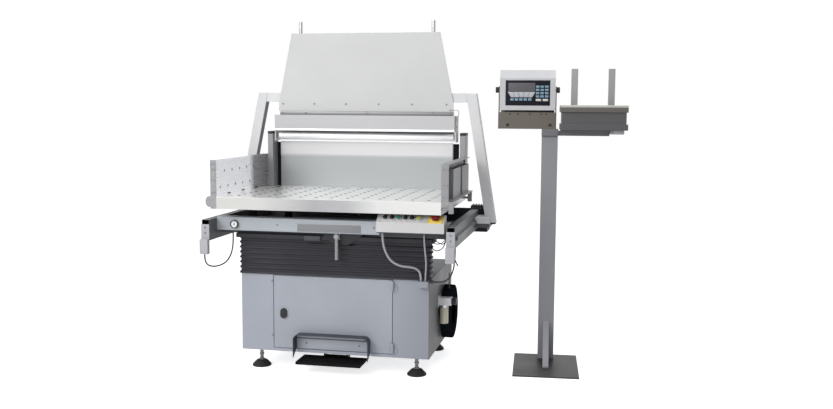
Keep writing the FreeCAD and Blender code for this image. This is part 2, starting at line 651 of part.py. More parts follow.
def cabinet_shell():
    shell = block(CABINET_LEFT, CABINET_FRONT, "cabinet_bottom", "cabinet_width", "cabinet_depth",
                  "cabinet_height")
    room = block(CABINET_LEFT + " + cabinet_sheet", CABINET_FRONT + " + cabinet_sheet",
                 "cabinet_bottom + cabinet_floor", "cabinet_width - 2 * cabinet_sheet",
                 "cabinet_depth - 2 * cabinet_sheet", "cabinet_height - cabinet_floor - cabinet_sheet")
    mouth_side = "pivot_spread + trestle_thick + hub_gap + hub_thick + mouth_margin"
    mouth_front = "tilt_cylinder_front + tilt_cylinder_radius + mouth_margin"
    mouth = block("-(" + mouth_side + ")", "-(" + mouth_front + ")", "cabinet_bottom + cabinet_height / 2",
                  "2 * (" + mouth_side + ")", mouth_front + " + trestle_width / 2 + mouth_margin",
                  "cabinet_height")
    doorway = block(DOOR_LEFT + " - door_gap", CABINET_FRONT + " - cabinet_sheet",
                    DOOR_BOTTOM + " - door_gap",
                    "door_width + 2 * door_gap", "3 * cabinet_sheet", DOOR_HEIGHT + " + 2 * door_gap")
    shaft_hole = bar(CABINET_RIGHT + " - 2 * cabinet_sheet", "blower_back", "blower_height",
                     "blower_shaft_radius + pin_clearance", "3 * cabinet_sheet", "x")
    parts = [cut(shell, [room, mouth, doorway, shaft_hole])]
    for left in (DOOR_LEFT + " - door_gap - cabinet_sheet", DOOR_RIGHT + " + door_gap"):
        parts.append(block(left, CABINET_FRONT, DOOR_BOTTOM + " - door_gap", "cabinet_sheet", "jamb_depth",
                           DOOR_HEIGHT + " + 2 * door_gap"))
    for low in HINGE_LOWS:
        parts.append(block(HINGE_X, CABINET_FRONT + " - leaf_sheet", low, "hinge_leaf", "leaf_sheet",
                           "hinge_length / 2 - seat_gap"))
        parts.append(bar(HINGE_X, HINGE_Y, low, "hinge_barrel_radius", "hinge_length / 2 - seat_gap"))
        parts.append(bar(HINGE_X, HINGE_Y, low, "hinge_pin_radius", "hinge_length - seat_gap"))
    parts.append(block(CABINET_RIGHT + " - entry_inset - entry_size / 2 - entry_pitch / 2",
                       CABINET_FRONT + " - entry_size", CABINET_TOP + " - entry_drop - entry_size",
                       "entry_size + entry_pitch", "entry_size", "entry_size"))
    parts.append(bar(CABINET_RIGHT, CABINET_FRONT + " + side_gland_inset", CABINET_TOP + " - side_gland_drop",
                     "gland_radius", "gland_length", "x"))
    piece("cabinet_shell", union(parts))


def feet():
    pads = []
    studs = []
    for across in ("cabinet_width / 2 - foot_inset", "foot_inset - cabinet_width / 2"):
        for along in ("cabinet_depth / 2 - foot_inset", "foot_inset - cabinet_depth / 2"):
            rim = bar(across, along, "0", "pad_radius", "pad_rim")
            dome = bind(doc.addObject("Part::Cone", "dome"), Radius1="pad_radius", Radius2="pad_top_radius",
                        Height="pad_height - pad_rim")
            pads.append(union([rim, at(dome, across, along, "pad_rim")]))
            stud = bar(across, along, "pad_height", "stud_radius", "cabinet_bottom - pad_height")
            nut = bind(doc.addObject("Part::Prism", "nut"), Circumradius="nut_radius", Height="nut_height")
            nut.Polygon = 6
            studs.append(union([stud, at(nut, across, along, "cabinet_bottom - nut_height")]))
    piece("foot_pads", bundle(pads))
    piece("foot_studs", bundle(studs))


def door():
    pan = block(DOOR_LEFT, CABINET_FRONT, DOOR_BOTTOM, "door_width", "door_pan", DOOR_HEIGHT)
    hollow = block(DOOR_LEFT + " + door_sheet", CABINET_FRONT + " + door_sheet",
                   DOOR_BOTTOM + " + door_sheet",
                   "door_width - 2 * door_sheet", "door_pan", DOOR_HEIGHT + " - 2 * door_sheet")
    latch_hole = bar(LATCH_X, CABINET_FRONT + " - door_sheet", LATCH_Z, "latch_shaft_radius + pin_clearance",
                     "3 * door_sheet", "y")
    parts = [cut(pan, [hollow, latch_hole])]
    for low in HINGE_LOWS:
        leaf = block(DOOR_RIGHT + " - hinge_leaf + door_gap", CABINET_FRONT + " - leaf_sheet",
                     low + " + hinge_length / 2", "hinge_leaf", "leaf_sheet", "hinge_length / 2")
        barrel = bar(HINGE_X, HINGE_Y, low + " + hinge_length / 2", "hinge_barrel_radius", "hinge_length / 2")
        bore = bar(HINGE_X, HINGE_Y, low, "hinge_pin_radius + pin_clearance", "hinge_length + hinge_inset")
        parts.append(cut(union([leaf, barrel]), [bore]))
    piece("cabinet_door", union(parts))


def latch():
    face_y = CABINET_FRONT + " - latch_thick - seat_gap"
    straight = "(latch_length - latch_width) / 2"
    parts = [block(LATCH_X + " - latch_width / 2", face_y, LATCH_Z + " - " + straight, "latch_width",
                   "latch_thick",
                   "latch_length - latch_width"),
             bar(LATCH_X, face_y, LATCH_Z + " - " + straight, "latch_width / 2", "latch_thick", "y"),
             bar(LATCH_X, face_y, LATCH_Z + " + " + straight, "latch_width / 2", "latch_thick", "y")]
    parts.append(bar(LATCH_X, face_y, LATCH_Z, "latch_shaft_radius",
                     "latch_thick + seat_gap + jamb_depth + cam_thick", "y"))
    parts.append(block(LATCH_X + " - cam_width / 2", CABINET_FRONT + " + jamb_depth + seat_gap",
                       LATCH_Z + " - cam_width / 2", "cam_width", "cam_thick", "cam_length + cam_width / 2"))
    piece("door_latch", union(parts))


def foot_guard():
    half = "guard_width / 2"
    tip = "-guard_tip"
    corners = [("-" + half, tip), ("-" + half, "guard_height"), (half, "guard_height"), (half, tip),
               (half + " - guard_sheet", tip), (half + " - guard_sheet", "guard_height - guard_sheet"),
               ("guard_sheet - " + half, "guard_height - guard_sheet"), ("guard_sheet - " + half, tip)]
    body = profile("XZ_Plane", corners, "guard_depth")
    outer = [FreeCAD.Vector(side * number(half), 0, number("guard_height")) for side in (-1, 1)]
    round_edges(body, "guard_corner", FreeCAD.Vector(0, 1, 0), outer)
    inner = [FreeCAD.Vector(side * number(half + " - guard_sheet"), 0, number("guard_height - guard_sheet"))
             for side in (-1, 1)]
    round_edges(body, "guard_corner - guard_sheet", FreeCAD.Vector(0, 1, 0), inner)
    slope = doc.addObject("Part::Wedge", "slope")
    bind(slope, Xmin="-guard_width", X2min="-guard_width", Xmax="guard_width", X2max="guard_width",
         Ymin="-guard_depth", Ymax="0", Zmin="-2 * guard_tip", Z2min="-2 * guard_tip", Zmax="-guard_tip",
         Z2max="guard_foot")
    back = block("guard_sheet - guard_width / 2", "-guard_sheet", "guard_foot",
                 "guard_width - 2 * guard_sheet",
                 "guard_sheet", "guard_height - guard_corner - guard_foot")
    guard = union([cut(body, [slope]), back])
    piece("foot_guard", at(guard, "guard_offset", CABINET_FRONT, "cabinet_bottom"))


def pedal():
    span = "pedal_neck / 2 + seat_gap"
    parts = [bar("pedal_offset - pedal_neck / 2 - lug_thick - seat_gap", PEDAL_AXIS_Y, PEDAL_AXIS_Z,
                 "pedal_pin_radius", "pedal_neck + 2 * lug_thick + 2 * seat_gap", "x")]
    for left in ("pedal_offset + " + span, "pedal_offset - lug_thick - pedal_neck / 2 - seat_gap"):
        parts.append(block(left, PEDAL_AXIS_Y + " - lug_width / 2", PEDAL_AXIS_Z + " - pedal_barrel_radius",
                           "lug_thick", "lug_width",
                           "cabinet_bottom - pedal_height - pedal_thick / 2 + pedal_barrel_radius"))
    piece("pedal_bracket", union(parts))
    plate = block("pedal_offset - pedal_width / 2", PEDAL_FRONT, "pedal_height", "pedal_width",
                  "pedal_length",
                  "pedal_thick")
    neck = block("pedal_offset - pedal_neck / 2", PEDAL_FRONT + " + pedal_length", "pedal_height",
                 "pedal_neck",
                 "pedal_neck_length", "pedal_thick")
    barrel = bar("pedal_offset - pedal_neck / 2", PEDAL_AXIS_Y, PEDAL_AXIS_Z, "pedal_barrel_radius",
                 "pedal_neck",
                 "x")
    bore = bar("pedal_offset - pedal_neck", PEDAL_AXIS_Y, PEDAL_AXIS_Z, "pedal_pin_radius + pin_clearance",
               "2 * pedal_neck", "x")
    piece("pedal_plate", cut(union([plate, neck, barrel]), [bore]))


def blower():
    drum = bar(CABINET_RIGHT, "blower_back", "blower_height", "blower_radius", "blower_depth", "x")
    room = bar(CABINET_RIGHT + " + blower_wall", "blower_back", "blower_height",
               "blower_radius - blower_wall",
               "blower_depth - 2 * blower_wall", "x")
    inlet = bar(CABINET_RIGHT + " + blower_depth / 2", "blower_back", "blower_height", "inlet_radius",
                "blower_depth", "x")
    boss = bar(CABINET_RIGHT, "blower_back", "blower_height", "blower_boss_radius",
               "blower_wall + blower_boss_length", "x")
    bore = bar(CABINET_RIGHT + " - blower_wall", "blower_back", "blower_height",
               "blower_shaft_radius + pin_clearance", "blower_depth / 2 + blower_wall", "x")
    piece("blower_housing", cut(union([cut(drum, [room, inlet]), boss]), [bore]))

    body = doc.addObject("PartDesign::Body", "impeller")
    disc = sketch_on(body, "XY_Plane")
    disc.addGeometry(Part.Circle(FreeCAD.Vector(), UP, number("impeller_radius")), False)
    disc.addConstraint(Sketcher.Constraint("Coincident", 0, 3, -1, 1))
    index = disc.addConstraint(Sketcher.Constraint("Radius", 0, number("impeller_radius")))
    disc.setExpression("Constraints[%d]" % index, formula("impeller_radius"))
    plate = body.newObject("PartDesign::Pad", "plate")
    plate.Profile = disc
    bind(plate, Length="impeller_plate")
    fin = sketch_on(body, "XY_Plane")
    inner = "impeller_radius - blade_length"
    outline(fin, [(inner, "-blade_thick / 2"), ("impeller_radius - blade_thick", "-blade_thick / 2"),
                  ("impeller_radius - blade_thick", "blade_thick / 2"), (inner, "blade_thick / 2")])
    blade = body.newObject("PartDesign::Pad", "blade")
    blade.Profile = fin
    bind(blade, Length="impeller_plate + blade_width")
    ring = body.newObject("PartDesign::PolarPattern", "blades")
    ring.Originals = [blade]
    ring.Axis = (disc, ["N_Axis"])
    ring.Angle = 360
    bind(ring, Occurrences="blade_count")
    body.Tip = ring
    body.Placement = FreeCAD.Placement(FreeCAD.Vector(), AXES["x"])
    at(body, CABINET_RIGHT + " + blower_wall + blower_boss_length + seat_gap", "blower_back", "blower_height")
    reach = ("blower_shaft_tail + blower_wall + blower_boss_length + seat_gap + impeller_plate"
             " + blade_width / 2")
    shaft = bar(CABINET_RIGHT + " - blower_shaft_tail", "blower_back", "blower_height", "blower_shaft_radius",
                reach, "x")
    piece("blower_impeller", union([body, shaft]))


def filter_unit():
    middle = "-filter_front"
    head = block(FILTER_X, middle + " - filter_width / 2", "filter_height", "filter_length", "filter_width",
                 "filter_rise")
    bracket = block(CABINET_RIGHT, middle + " - filter_width / 2 - filter_plate_margin",
                    "filter_height - filter_plate_margin", "filter_plate",
                    "filter_width + 2 * filter_plate_margin",
                    "filter_rise + 2 * filter_plate_margin")
    neck = bar(FILTER_X + " + bowl_radius", middle, "filter_height - bowl_neck", "bowl_radius", "bowl_neck")
    stub = bar(FILTER_X + " + filter_length", middle, KNOB_Z, "knob_stub_radius", "knob_stub", "x")
    piece("filter_body", union([head, bracket, neck, stub]))
    bowl = bar(FILTER_X + " + bowl_radius", middle, "filter_height - bowl_neck - bowl_height", "bowl_radius",
               "bowl_height")
    hollow = bar(FILTER_X + " + bowl_radius", middle, "filter_height - bowl_neck - bowl_height + bowl_wall",
                 "bowl_radius - bowl_wall", "bowl_height")
    piece("filter_bowl", cut(bowl, [hollow]))
    knob = bar(FILTER_X + " + filter_length + seat_gap", middle, KNOB_Z, "knob_radius", "knob_length", "x")
    socket = bar(FILTER_X + " + filter_length", middle, KNOB_Z, "knob_stub_radius + pin_clearance",
                 "knob_stub + seat_gap", "x")
    piece("regulator_knob", cut(knob, [socket]))


def tilt_drive():
    parts = [bar("-pivot_spread - trestle_thick - hub_gap - hub_thick", "0", "pivot_height",
                 "tilt_shaft_radius",
                 "2 * (pivot_spread + trestle_thick + hub_gap + hub_thick)", "x")]
    for sign in (1, -1):
        parts.append(block(mirrored(sign, "pivot_spread", "trestle_thick"), "-trestle_width / 2",
                           "cabinet_bottom + cabinet_floor", "trestle_thick", "trestle_width",
                           "pivot_height + trestle_cap - cabinet_bottom - cabinet_floor"))
    piece("pivot_trestle", union(parts))
    low = "cabinet_bottom + cabinet_floor"
    barrel = bar("0", "-tilt_cylinder_front", low, "tilt_cylinder_radius", "tilt_cylinder_length")
    bore = bar("0", "-tilt_cylinder_front", low + " + tilt_cylinder_base", "tilt_rod_radius + pin_clearance",
               "tilt_cylinder_length")
    piece("tilt_cylinder", cut(barrel, [bore]))
    foot = low + " + tilt_cylinder_base + tilt_rod_lift"
    rod = bar("0", "-tilt_cylinder_front", foot, "tilt_rod_radius",
              "deck_height - seat_gap - cabinet_bottom - cabinet_floor - tilt_cylinder_base - tilt_rod_lift")
    piece("tilt_rod", rod)


def level_frame(reach, height):
    """Rectangle over the cabinet's front part, grown by reach, at a height."""
    half_x = number("cabinet_width / 2") + reach
    front = number(CABINET_FRONT) - reach
    rear = number(CABINET_FRONT + " + bellows_depth") + reach
    corners = [(-half_x, front), (half_x, front), (half_x, rear), (-half_x, rear), (-half_x, front)]
    return Part.makePolygon([FreeCAD.Vector(x, y, height) for x, y in corners])


def bellows():
    bottom = number(CABINET_TOP)
    top = number("deck_height - seat_gap")
    collar = top - number("bellows_collar")
    ridge = number("bellows_overhang")
    valley = ridge - number("bellows_pleat")
    count = int(number("bellows_pleats"))
    start = bottom + number("bellows_foot")
    pitch = (collar - start) / count
    frames = [level_frame(ridge, bottom), level_frame(ridge, start)]
    for fold in range(count):
        frames.append(level_frame(valley, start + (fold + 0.5) * pitch))
        frames.append(level_frame(ridge, start + (fold + 1) * pitch))
    pleats = Part.makeLoft(frames, True, True)
    reach = number("collar_overhang")
    rim = Part.makeLoft([level_frame(reach, collar), level_frame(reach, top)], True, True)
    inside = valley - number("bellows_wall")
    room = Part.makeLoft([level_frame(inside, bottom - 1), level_frame(inside, top + 1)], True, True)
    item = doc.addObject("Part::Feature", "bellows")
    item.Shape = pleats.fuse(rim).cut(room).removeSplitter()
    item.Placement = FreeCAD.Placement()
    piece("bellows", item)


def front_beam():
    corners = [(BEAM_FRONT, "beam_bottom"), (BEAM_FRONT, BEAM_TOP), (BEAM_BACK, BEAM_TOP),
               (BEAM_BACK, BEAM_TOP + " - beam_sheet"),
               (BEAM_FRONT + " + beam_sheet", BEAM_TOP + " - beam_sheet"),
               (BEAM_FRONT + " + beam_sheet", "beam_bottom + beam_sheet"),
               (BEAM_BACK, "beam_bottom + beam_sheet"), (BEAM_BACK, "beam_bottom")]
    body = profile("YZ_Plane", corners, "2 * (" + SIDE_IN + ")")
    front = number(BEAM_FRONT)
    edges = [FreeCAD.Vector(0, front, number("beam_bottom")), FreeCAD.Vector(0, front, number(BEAM_TOP))]
    round_edges(body, "beam_edge", FreeCAD.Vector(1, 0, 0), edges)
    at(body, "-(" + SIDE_IN + ")")
    lug_y = BEAM_FRONT + " + lever_back"
    lug = block("lever_side - lever_head_radius", lug_y, "beam_bottom - 2 * lever_drop",
                "2 * lever_head_radius",
                "lever_lug", "2 * lever_drop + beam_sheet")
    pin = bar("lever_side", lug_y + " - lever_head - seat_gap", "beam_bottom - lever_drop",
              "lever_pin_radius",
              "lever_head + seat_gap + lever_lug", "y")
    piece("front_beam", union([body, lug, pin]))


def knee_lever():
    head_y = BEAM_FRONT + " + lever_back - lever_head - seat_gap"
    head = bar("lever_side", head_y, "beam_bottom - lever_drop", "lever_head_radius", "lever_head", "y")
    stem = bar("lever_side", head_y + " + lever_head / 2", "beam_bottom - lever_drop - lever_length",
               "lever_radius",
               "lever_length - lever_head_radius / 2")
    bore = bar("lever_side", head_y + " - lever_head", "beam_bottom - lever_drop",
               "lever_pin_radius + pin_clearance",
               "3 * lever_head", "y")
    piece("knee_lever", cut(union([head, stem]), [bore]))


def side_beam(label, sign):
    low = "side_beam_bottom"
    tube = block(mirrored(sign, SIDE_IN, "side_beam_width"), SIDE_FRONT, low, "side_beam_width",
                 "side_beam_length",
                 "side_beam_height")
    room = block(mirrored(sign, SIDE_IN + " + side_beam_wall", "side_beam_width - 2 * side_beam_wall"),
                 SIDE_FRONT + " - side_beam_wall", low + " + side_beam_wall",
                 "side_beam_width - 2 * side_beam_wall",
                 "side_beam_length + 2 * side_beam_wall", "side_beam_height - 2 * side_beam_wall")
    rail = block(mirrored(sign, SIDE_OUT, "rail_depth"), SIDE_FRONT + " + side_beam_lead", "rail_height",
                 "rail_depth", "side_beam_length - side_beam_lead", "rail_size")
    piece(label, union([cut(tube, [room]), rail]))


def deck():
    plate = block("-(" + SIDE_IN + ")", BEAM_BACK, "deck_height", "2 * (" + SIDE_IN + ")",
                  SIDE_REAR + " - (" + BEAM_BACK + ")", "deck_thick")
    hanger = block("-(" + SIDE_IN + ")", BEAM_BACK, DECK_TOP, "2 * (" + SIDE_IN + ")", "beam_sheet",
                   BEAM_TOP + " - deck_height - deck_thick")
    apron = block("-(" + SIDE_IN + ")", SIDE_REAR + " - 2 * beam_sheet", DECK_TOP, "2 * (" + SIDE_IN + ")",
                  "beam_sheet", BEAM_TOP + " - deck_height - deck_thick")
    parts = [plate, hanger, apron]
    hub_in = "pivot_spread + trestle_thick + hub_gap"
    for sign in (1, -1):
        parts.append(block(mirrored(sign, hub_in, "hub_thick"), "-hub_width / 2", "pivot_height - hub_drop",
                           "hub_thick", "hub_width", "deck_height - pivot_height + hub_drop"))
    bore = bar("-2 * pivot_spread", "0", "pivot_height", "tilt_shaft_radius + pin_clearance",
               "4 * pivot_spread",
               "x")
    piece("deck_plate", cut(union(parts), [bore]))


def gauge():
    face_y = BEAM_FRONT + " - gauge_depth"
    axis_z = "beam_bottom + gauge_rise"
    case = bar("-gauge_side", face_y, axis_z, "gauge_radius", "gauge_depth", "y")
    recess = bar("-gauge_side", face_y + " - dial_recess", axis_z, "dial_radius", "2 * dial_recess", "y")
    bore = bar("-gauge_side", face_y, axis_z, "needle_pin_radius + pin_clearance",
               "dial_recess + needle_pin", "y")
    piece("gauge_case", cut(case, [recess, bore]))
    needle_y = face_y + " + dial_recess - needle_thick - seat_gap"
    hub = bar("-gauge_side", needle_y, axis_z, "needle_hub_radius", "needle_thick", "y")
    hand = block("-gauge_side - needle_width / 2", needle_y, axis_z, "needle_width", "needle_thick",
                 "needle_length")
    pin = bar("-gauge_side", needle_y, axis_z, "needle_pin_radius", "needle_pin", "y")
    piece("gauge_needle", union([hub, hand, pin]))


def on_panel(item, x):
    """Stand a piece made along Z on the sloping switch panel."""
    slope = math.degrees(math.atan2(number("panel_rise"), number("panel_run")))
    item.Placement = FreeCAD.Placement(FreeCAD.Vector(), FreeCAD.Rotation(FreeCAD.Vector(1, 0, 0), slope))
    return at(item, x, PANEL_Y, PANEL_Z)


def control_box():
    corners = [("-box_depth", "0"), ("-box_depth", "box_face"),
               ("panel_run - box_depth", "box_face + panel_rise"),
               ("0", "box_face + panel_rise"), ("0", "0")]
    body = at(profile("YZ_Plane", corners, "box_width"), "box_left", BEAM_FRONT, BOX_BOTTOM)
    places = ["box_left + switch_first + %d * switch_pitch" % place for place in range(6)]
    stop = "box_left + box_width - estop_inset"
    bezels = [on_panel(bundle([bar("0", "0", "-bezel_height", "bezel_radius", "2 * bezel_height")]), place)
              for place in places]
    bezels.append(on_panel(bundle([bar("0", "0", "-estop_bezel", "estop_bezel_radius", "2 * estop_bezel")]),
                           stop))
    bores = [on_panel(bundle([bar("0", "0", "-switch_bore", "switch_shaft_radius + pin_clearance",
                                  "2 * switch_bore")]), place) for place in places + [stop]]
    piece("control_box", cut(union([body] + bezels), bores))
    for label, place in zip(("selector_1", "selector_2", "selector_3", "selector_4"),
                            (places[0], places[1], places[3], places[4])):
        low = "bezel_height + seat_gap"
        shaft = bar("0", "0", "-switch_shaft", "switch_shaft_radius",
                    "switch_shaft + bezel_height + knob_disc")
        disc = bar("0", "0", low, "knob_disc_radius", "knob_disc")
        grip = block("-knob_grip_width / 2", "-knob_disc_radius", low, "knob_grip_width",
                     "2 * knob_disc_radius",
                     "knob_disc + knob_grip")
        piece(label, on_panel(union([shaft, disc, grip]), place))
    for label, place in (("green_button", places[2]), ("yellow_button", places[5])):
        shaft = bar("0", "0", "-switch_shaft / 2", "switch_shaft_radius", "switch_shaft / 2 + button_rise")
        cap = bar("0", "0", "button_rise", "button_radius", "button_cap")
        piece(label, on_panel(union([shaft, cap]), place))
    shaft = bar("0", "0", "-switch_shaft / 2", "switch_shaft_radius", "switch_shaft / 2 + estop_rise")
    neck = bar("0", "0", "estop_rise", "estop_neck_radius", "estop_cap / 2")
    cap = bar("0", "0", "estop_rise", "estop_radius", "estop_cap")
    piece("estop_button", on_panel(union([shaft, neck, cap]), stop))


def sensor_brackets():
    brackets = []
    for sign in (1, -1):
        width = "side_beam_width + sensor_overlap"
        plate = block(mirrored(sign, SIDE_IN, width), SIDE_FRONT + " - sensor_plate", "sensor_low", width,
                      "sensor_plate", "sensor_high - sensor_low")
        housing = block(mirrored(sign, SIDE_IN, width), SIDE_FRONT + " - sensor_plate - sensor_box_depth",
                        "sensor_low", width, "sensor_box_depth", "sensor_box_height")
        brackets.append(union([plate, housing]))
    piece("sensor_brackets", bundle(brackets))


def travel_motor():
    left = SIDE_IN + " - motor_inset"
    parts = [block(left, SIDE_REAR, "motor_bottom", "motor_width", "motor_length", "motor_height")]
    for fin in range(int(number("fin_count"))):
        parts.append(block(left + " + %d * (motor_width - fin_thick) / (fin_count - 1)" % fin, SIDE_REAR,
                           "motor_bottom + motor_height", "fin_thick", "motor_length", "fin_height"))
    piece("travel_motor", union(parts))


def rubber_mounts():
    mounts = []
    rise = PLATE_UNDER + " - seat_gap - mount_height"
    for across in ("mount_side", "-mount_side"):
        for along in ("-mount_front", "mount_back"):
            post = bar(across, along, DECK_TOP, "mount_post_radius", rise + " - deck_height - deck_thick")
            mounts.append(union([post, bar(across, along, rise, "mount_radius", "mount_height")]))
    piece("rubber_mounts", bundle(mounts))


def table_top():
    pan = block(TABLE_LEFT, "-table_front", APRON_BOTTOM, "table_width", "table_depth", "apron_height")
    room = block(TABLE_LEFT + " + apron_sheet", "apron_sheet - table_front", APRON_BOTTOM + " - apron_height",
                 "table_width - 2 * apron_sheet", "table_depth - 2 * apron_sheet",
                 "2 * apron_height - table_sheet")
    pitch = number("air_hole_pitch")
    margin = number("air_hole_margin")
    across = int((number("table_width") - 2 * margin) / pitch)
    along = int((number("table_depth") - 2 * margin) / pitch)
    drills = []
    for column in range(across + 1):
        for line in range(along + 1):
            spot = FreeCAD.Vector((column - across / 2) * pitch,
                                  number(TABLE_REAR + " - table_depth / 2") + (line - along / 2) * pitch,
                                  number("table_height - 2 * table_sheet"))
            drills.append(Part.makeCylinder(number("air_hole_radius"), number("3 * table_sheet"), spot))
    holes = doc.addObject("Part::Feature", "air_holes")
    holes.Shape = Part.makeCompound(drills)
    bores = [bar(TABLE_RIGHT + " - 2 * apron_sheet", y, "table_height - guide_pin_drop",
                 "guide_pin_radius + pin_clearance", "3 * apron_sheet", "x") for y in guide_pin_places()]
    piece("table_top", cut(pan, [room, holes] + bores))


def guide_pin_places():
    return ("ear_length / 2 - table_front", FENCE_REAR + " - ear_rear - ear_length / 2")


def fence_openings(x):
    """Two rows of round holes and one row of slots through a fence sheet."""
    tools = []
    for line, first in (("fence_hole_low", "fence_hole_first"),
                        ("fence_hole_high", "fence_hole_first + fence_hole_shift")):
        for place in range(5):
            y = "%s + %d * fence_hole_pitch - table_front" % (first, place)
            tools.append(bar(x + " - fence_sheet", y, "table_height + " + line, "fence_hole_radius",
                             "3 * fence_sheet", "x"))
    for place in range(3):
        y = "fence_slot_first + %d * fence_slot_pitch - table_front" % place
        tools.append(block(x + " - fence_sheet", y, "table_height + 1.2 * fence_sheet", "3 * fence_sheet",
                           "fence_slot_length", "fence_slot_height"))
    return tools


def left_fence():
    outer = TABLE_LEFT + " - fence_thick"
    height = "apron_height + fence_height"
    sheet_x = TABLE_LEFT + " - fence_sheet"
    outline = [("0", "0"), ("left_fence_length", "0"), ("left_fence_length", height), ("0", height)]
    wall = profile("YZ_Plane", outline, "fence_sheet")
    corner = FreeCAD.Vector(0, number("left_fence_length"), number(height))
    round_edges(wall, "fence_round", FreeCAD.Vector(1, 0, 0), [corner])
    at(wall, sheet_x, "-table_front", APRON_BOTTOM)
    cap = block(outer, "-table_front", FENCE_TOP + " - fence_sheet", "fence_thick",
                "left_fence_length - fence_round", "fence_sheet")
    front = block(outer, "-table_front", APRON_BOTTOM, "fence_thick", "fence_sheet", height)
    rear = block(outer, LEFT_FENCE_REAR + " - fence_sheet", APRON_BOTTOM, "fence_thick", "fence_sheet",
                 height + " - fence_round")
    ear = profile("XZ_Plane", [("0", "0"), ("-(ear_reach + fence_thick)", "0"),
                               ("-(ear_reach + fence_thick)", "ear_height"), ("0", "ear_height")],
                               "fence_sheet")
    reach = -number("ear_reach + fence_thick")
    spots = [FreeCAD.Vector(reach, 0, 0), FreeCAD.Vector(reach, 0, number("ear_height"))]
    round_edges(ear, "ear_round", FreeCAD.Vector(0, 1, 0), spots)
    at(ear, TABLE_LEFT, "fence_sheet - table_front", "table_height + ear_top - ear_height")
    piece("left_fence", union([cut(wall, fence_openings(sheet_x)), cap, front, rear, ear]))


def right_fence():
    low = "table_height + fence_lift"
    height = "fence_height - fence_lift"
    wall = block(TABLE_RIGHT, "-table_front", low, "fence_sheet", "fence_length", height)
    flange = "fence_thick + fence_lip"
    cap = block(TABLE_RIGHT, "-table_front", FENCE_TOP + " - fence_sheet", flange, "fence_length",
                "fence_sheet")
    foot = block(TABLE_RIGHT, "-table_front", low, "fence_thick + ear_reach", "fence_length", "fence_sheet")
    front = block(TABLE_RIGHT, "-table_front", low, flange, "fence_sheet", height)
    parts = [cut(wall, fence_openings(TABLE_RIGHT)), cap, foot, front]
    for y in guide_pin_places():
        parts.append(block(TABLE_RIGHT + " + fence_foot", y + " - ear_length / 2",
                           "table_height + ear_top - ear_height", "fence_thick + ear_reach - fence_foot",
                           "ear_length", "ear_height - ear_top + fence_lift + fence_sheet"))
        parts.append(bar(TABLE_RIGHT + " + fence_foot - guide_pin_length", y, "table_height - guide_pin_drop",
                         "guide_pin_radius", "guide_pin_length + fence_sheet", "x"))
    for step in range(2):
        first = "stiffener_first + %d * stiffener_step - table_front" % step
        parts.append(block(TABLE_RIGHT + " + fence_thick", first, low, "fence_sheet", "stiffener_length",
                           "stiffener_height"))
        for rib in (first, first + " + stiffener_length - fence_sheet"):
            parts.append(block(TABLE_RIGHT, rib, low, "fence_thick + fence_sheet", "fence_sheet",
                               "stiffener_height"))
    piece("right_fence", union(parts))


def rear_stop():
    posts = [block(mirrored(sign, POST_IN, "post_width") + " + gantry_side",
                   TABLE_REAR + " - post_rear - post_depth", "table_height",
                   "post_width", "post_depth", "post_height") for sign in (1, -1)]
    piece("corner_posts", bundle(posts))
    half = POST_IN + " - strip_gap"
    face_y = TABLE_REAR + " - rear_inset"
    wall = block("-(" + half + ")", face_y, "table_height", "2 * (" + half + ")", "rear_sheet", "rear_height")
    band = block("-(" + half + ")", face_y + " - rear_sheet", "table_height + rear_height - rear_band",
                 "2 * (" + half + ")", "rear_sheet", "rear_band")
    parts = [wall, band]
    for sign in (1, -1):
        parts.append(block(mirrored(sign, half + " - rear_sheet", "rear_sheet"), face_y, "table_height",
                           "rear_sheet",
                           "rear_flange", "rear_height"))
    piece("rear_plate", union(parts))


def vibrator():
    axis_y = "-vibrator_front"
    axis_z = PLATE_UNDER + " - vibrator_drop"
    drum = bar("-vibrator_length / 2", axis_y, axis_z, "vibrator_radius", "vibrator_length", "x")
    foot = block("-vibrator_foot / 2", axis_y + " - vibrator_foot / 2", axis_z + " + vibrator_radius / 2",
                 "vibrator_foot", "vibrator_foot", "vibrator_drop - vibrator_radius / 2")
    bore = bar("-vibrator_length", axis_y, axis_z, "rotor_shaft_radius + pin_clearance",
               "2 * vibrator_length", "x")
    piece("vibrator_motor", cut(union([drum, foot]), [bore]))
    parts = [bar("-rotor_shaft / 2", axis_y, axis_z, "rotor_shaft_radius", "rotor_shaft", "x")]
    for sign in (1, -1):
        left = mirrored(sign, "vibrator_length / 2 + weight_gap", "weight_thick")
        full = bar(left, axis_y, axis_z, "weight_radius", "weight_thick", "x")
        upper = block(left, axis_y + " - weight_radius", axis_z, "weight_thick", "2 * weight_radius",
                      "weight_radius")
        parts.append(cut(full, [upper]))
    piece("vibrator_rotor", union(parts))


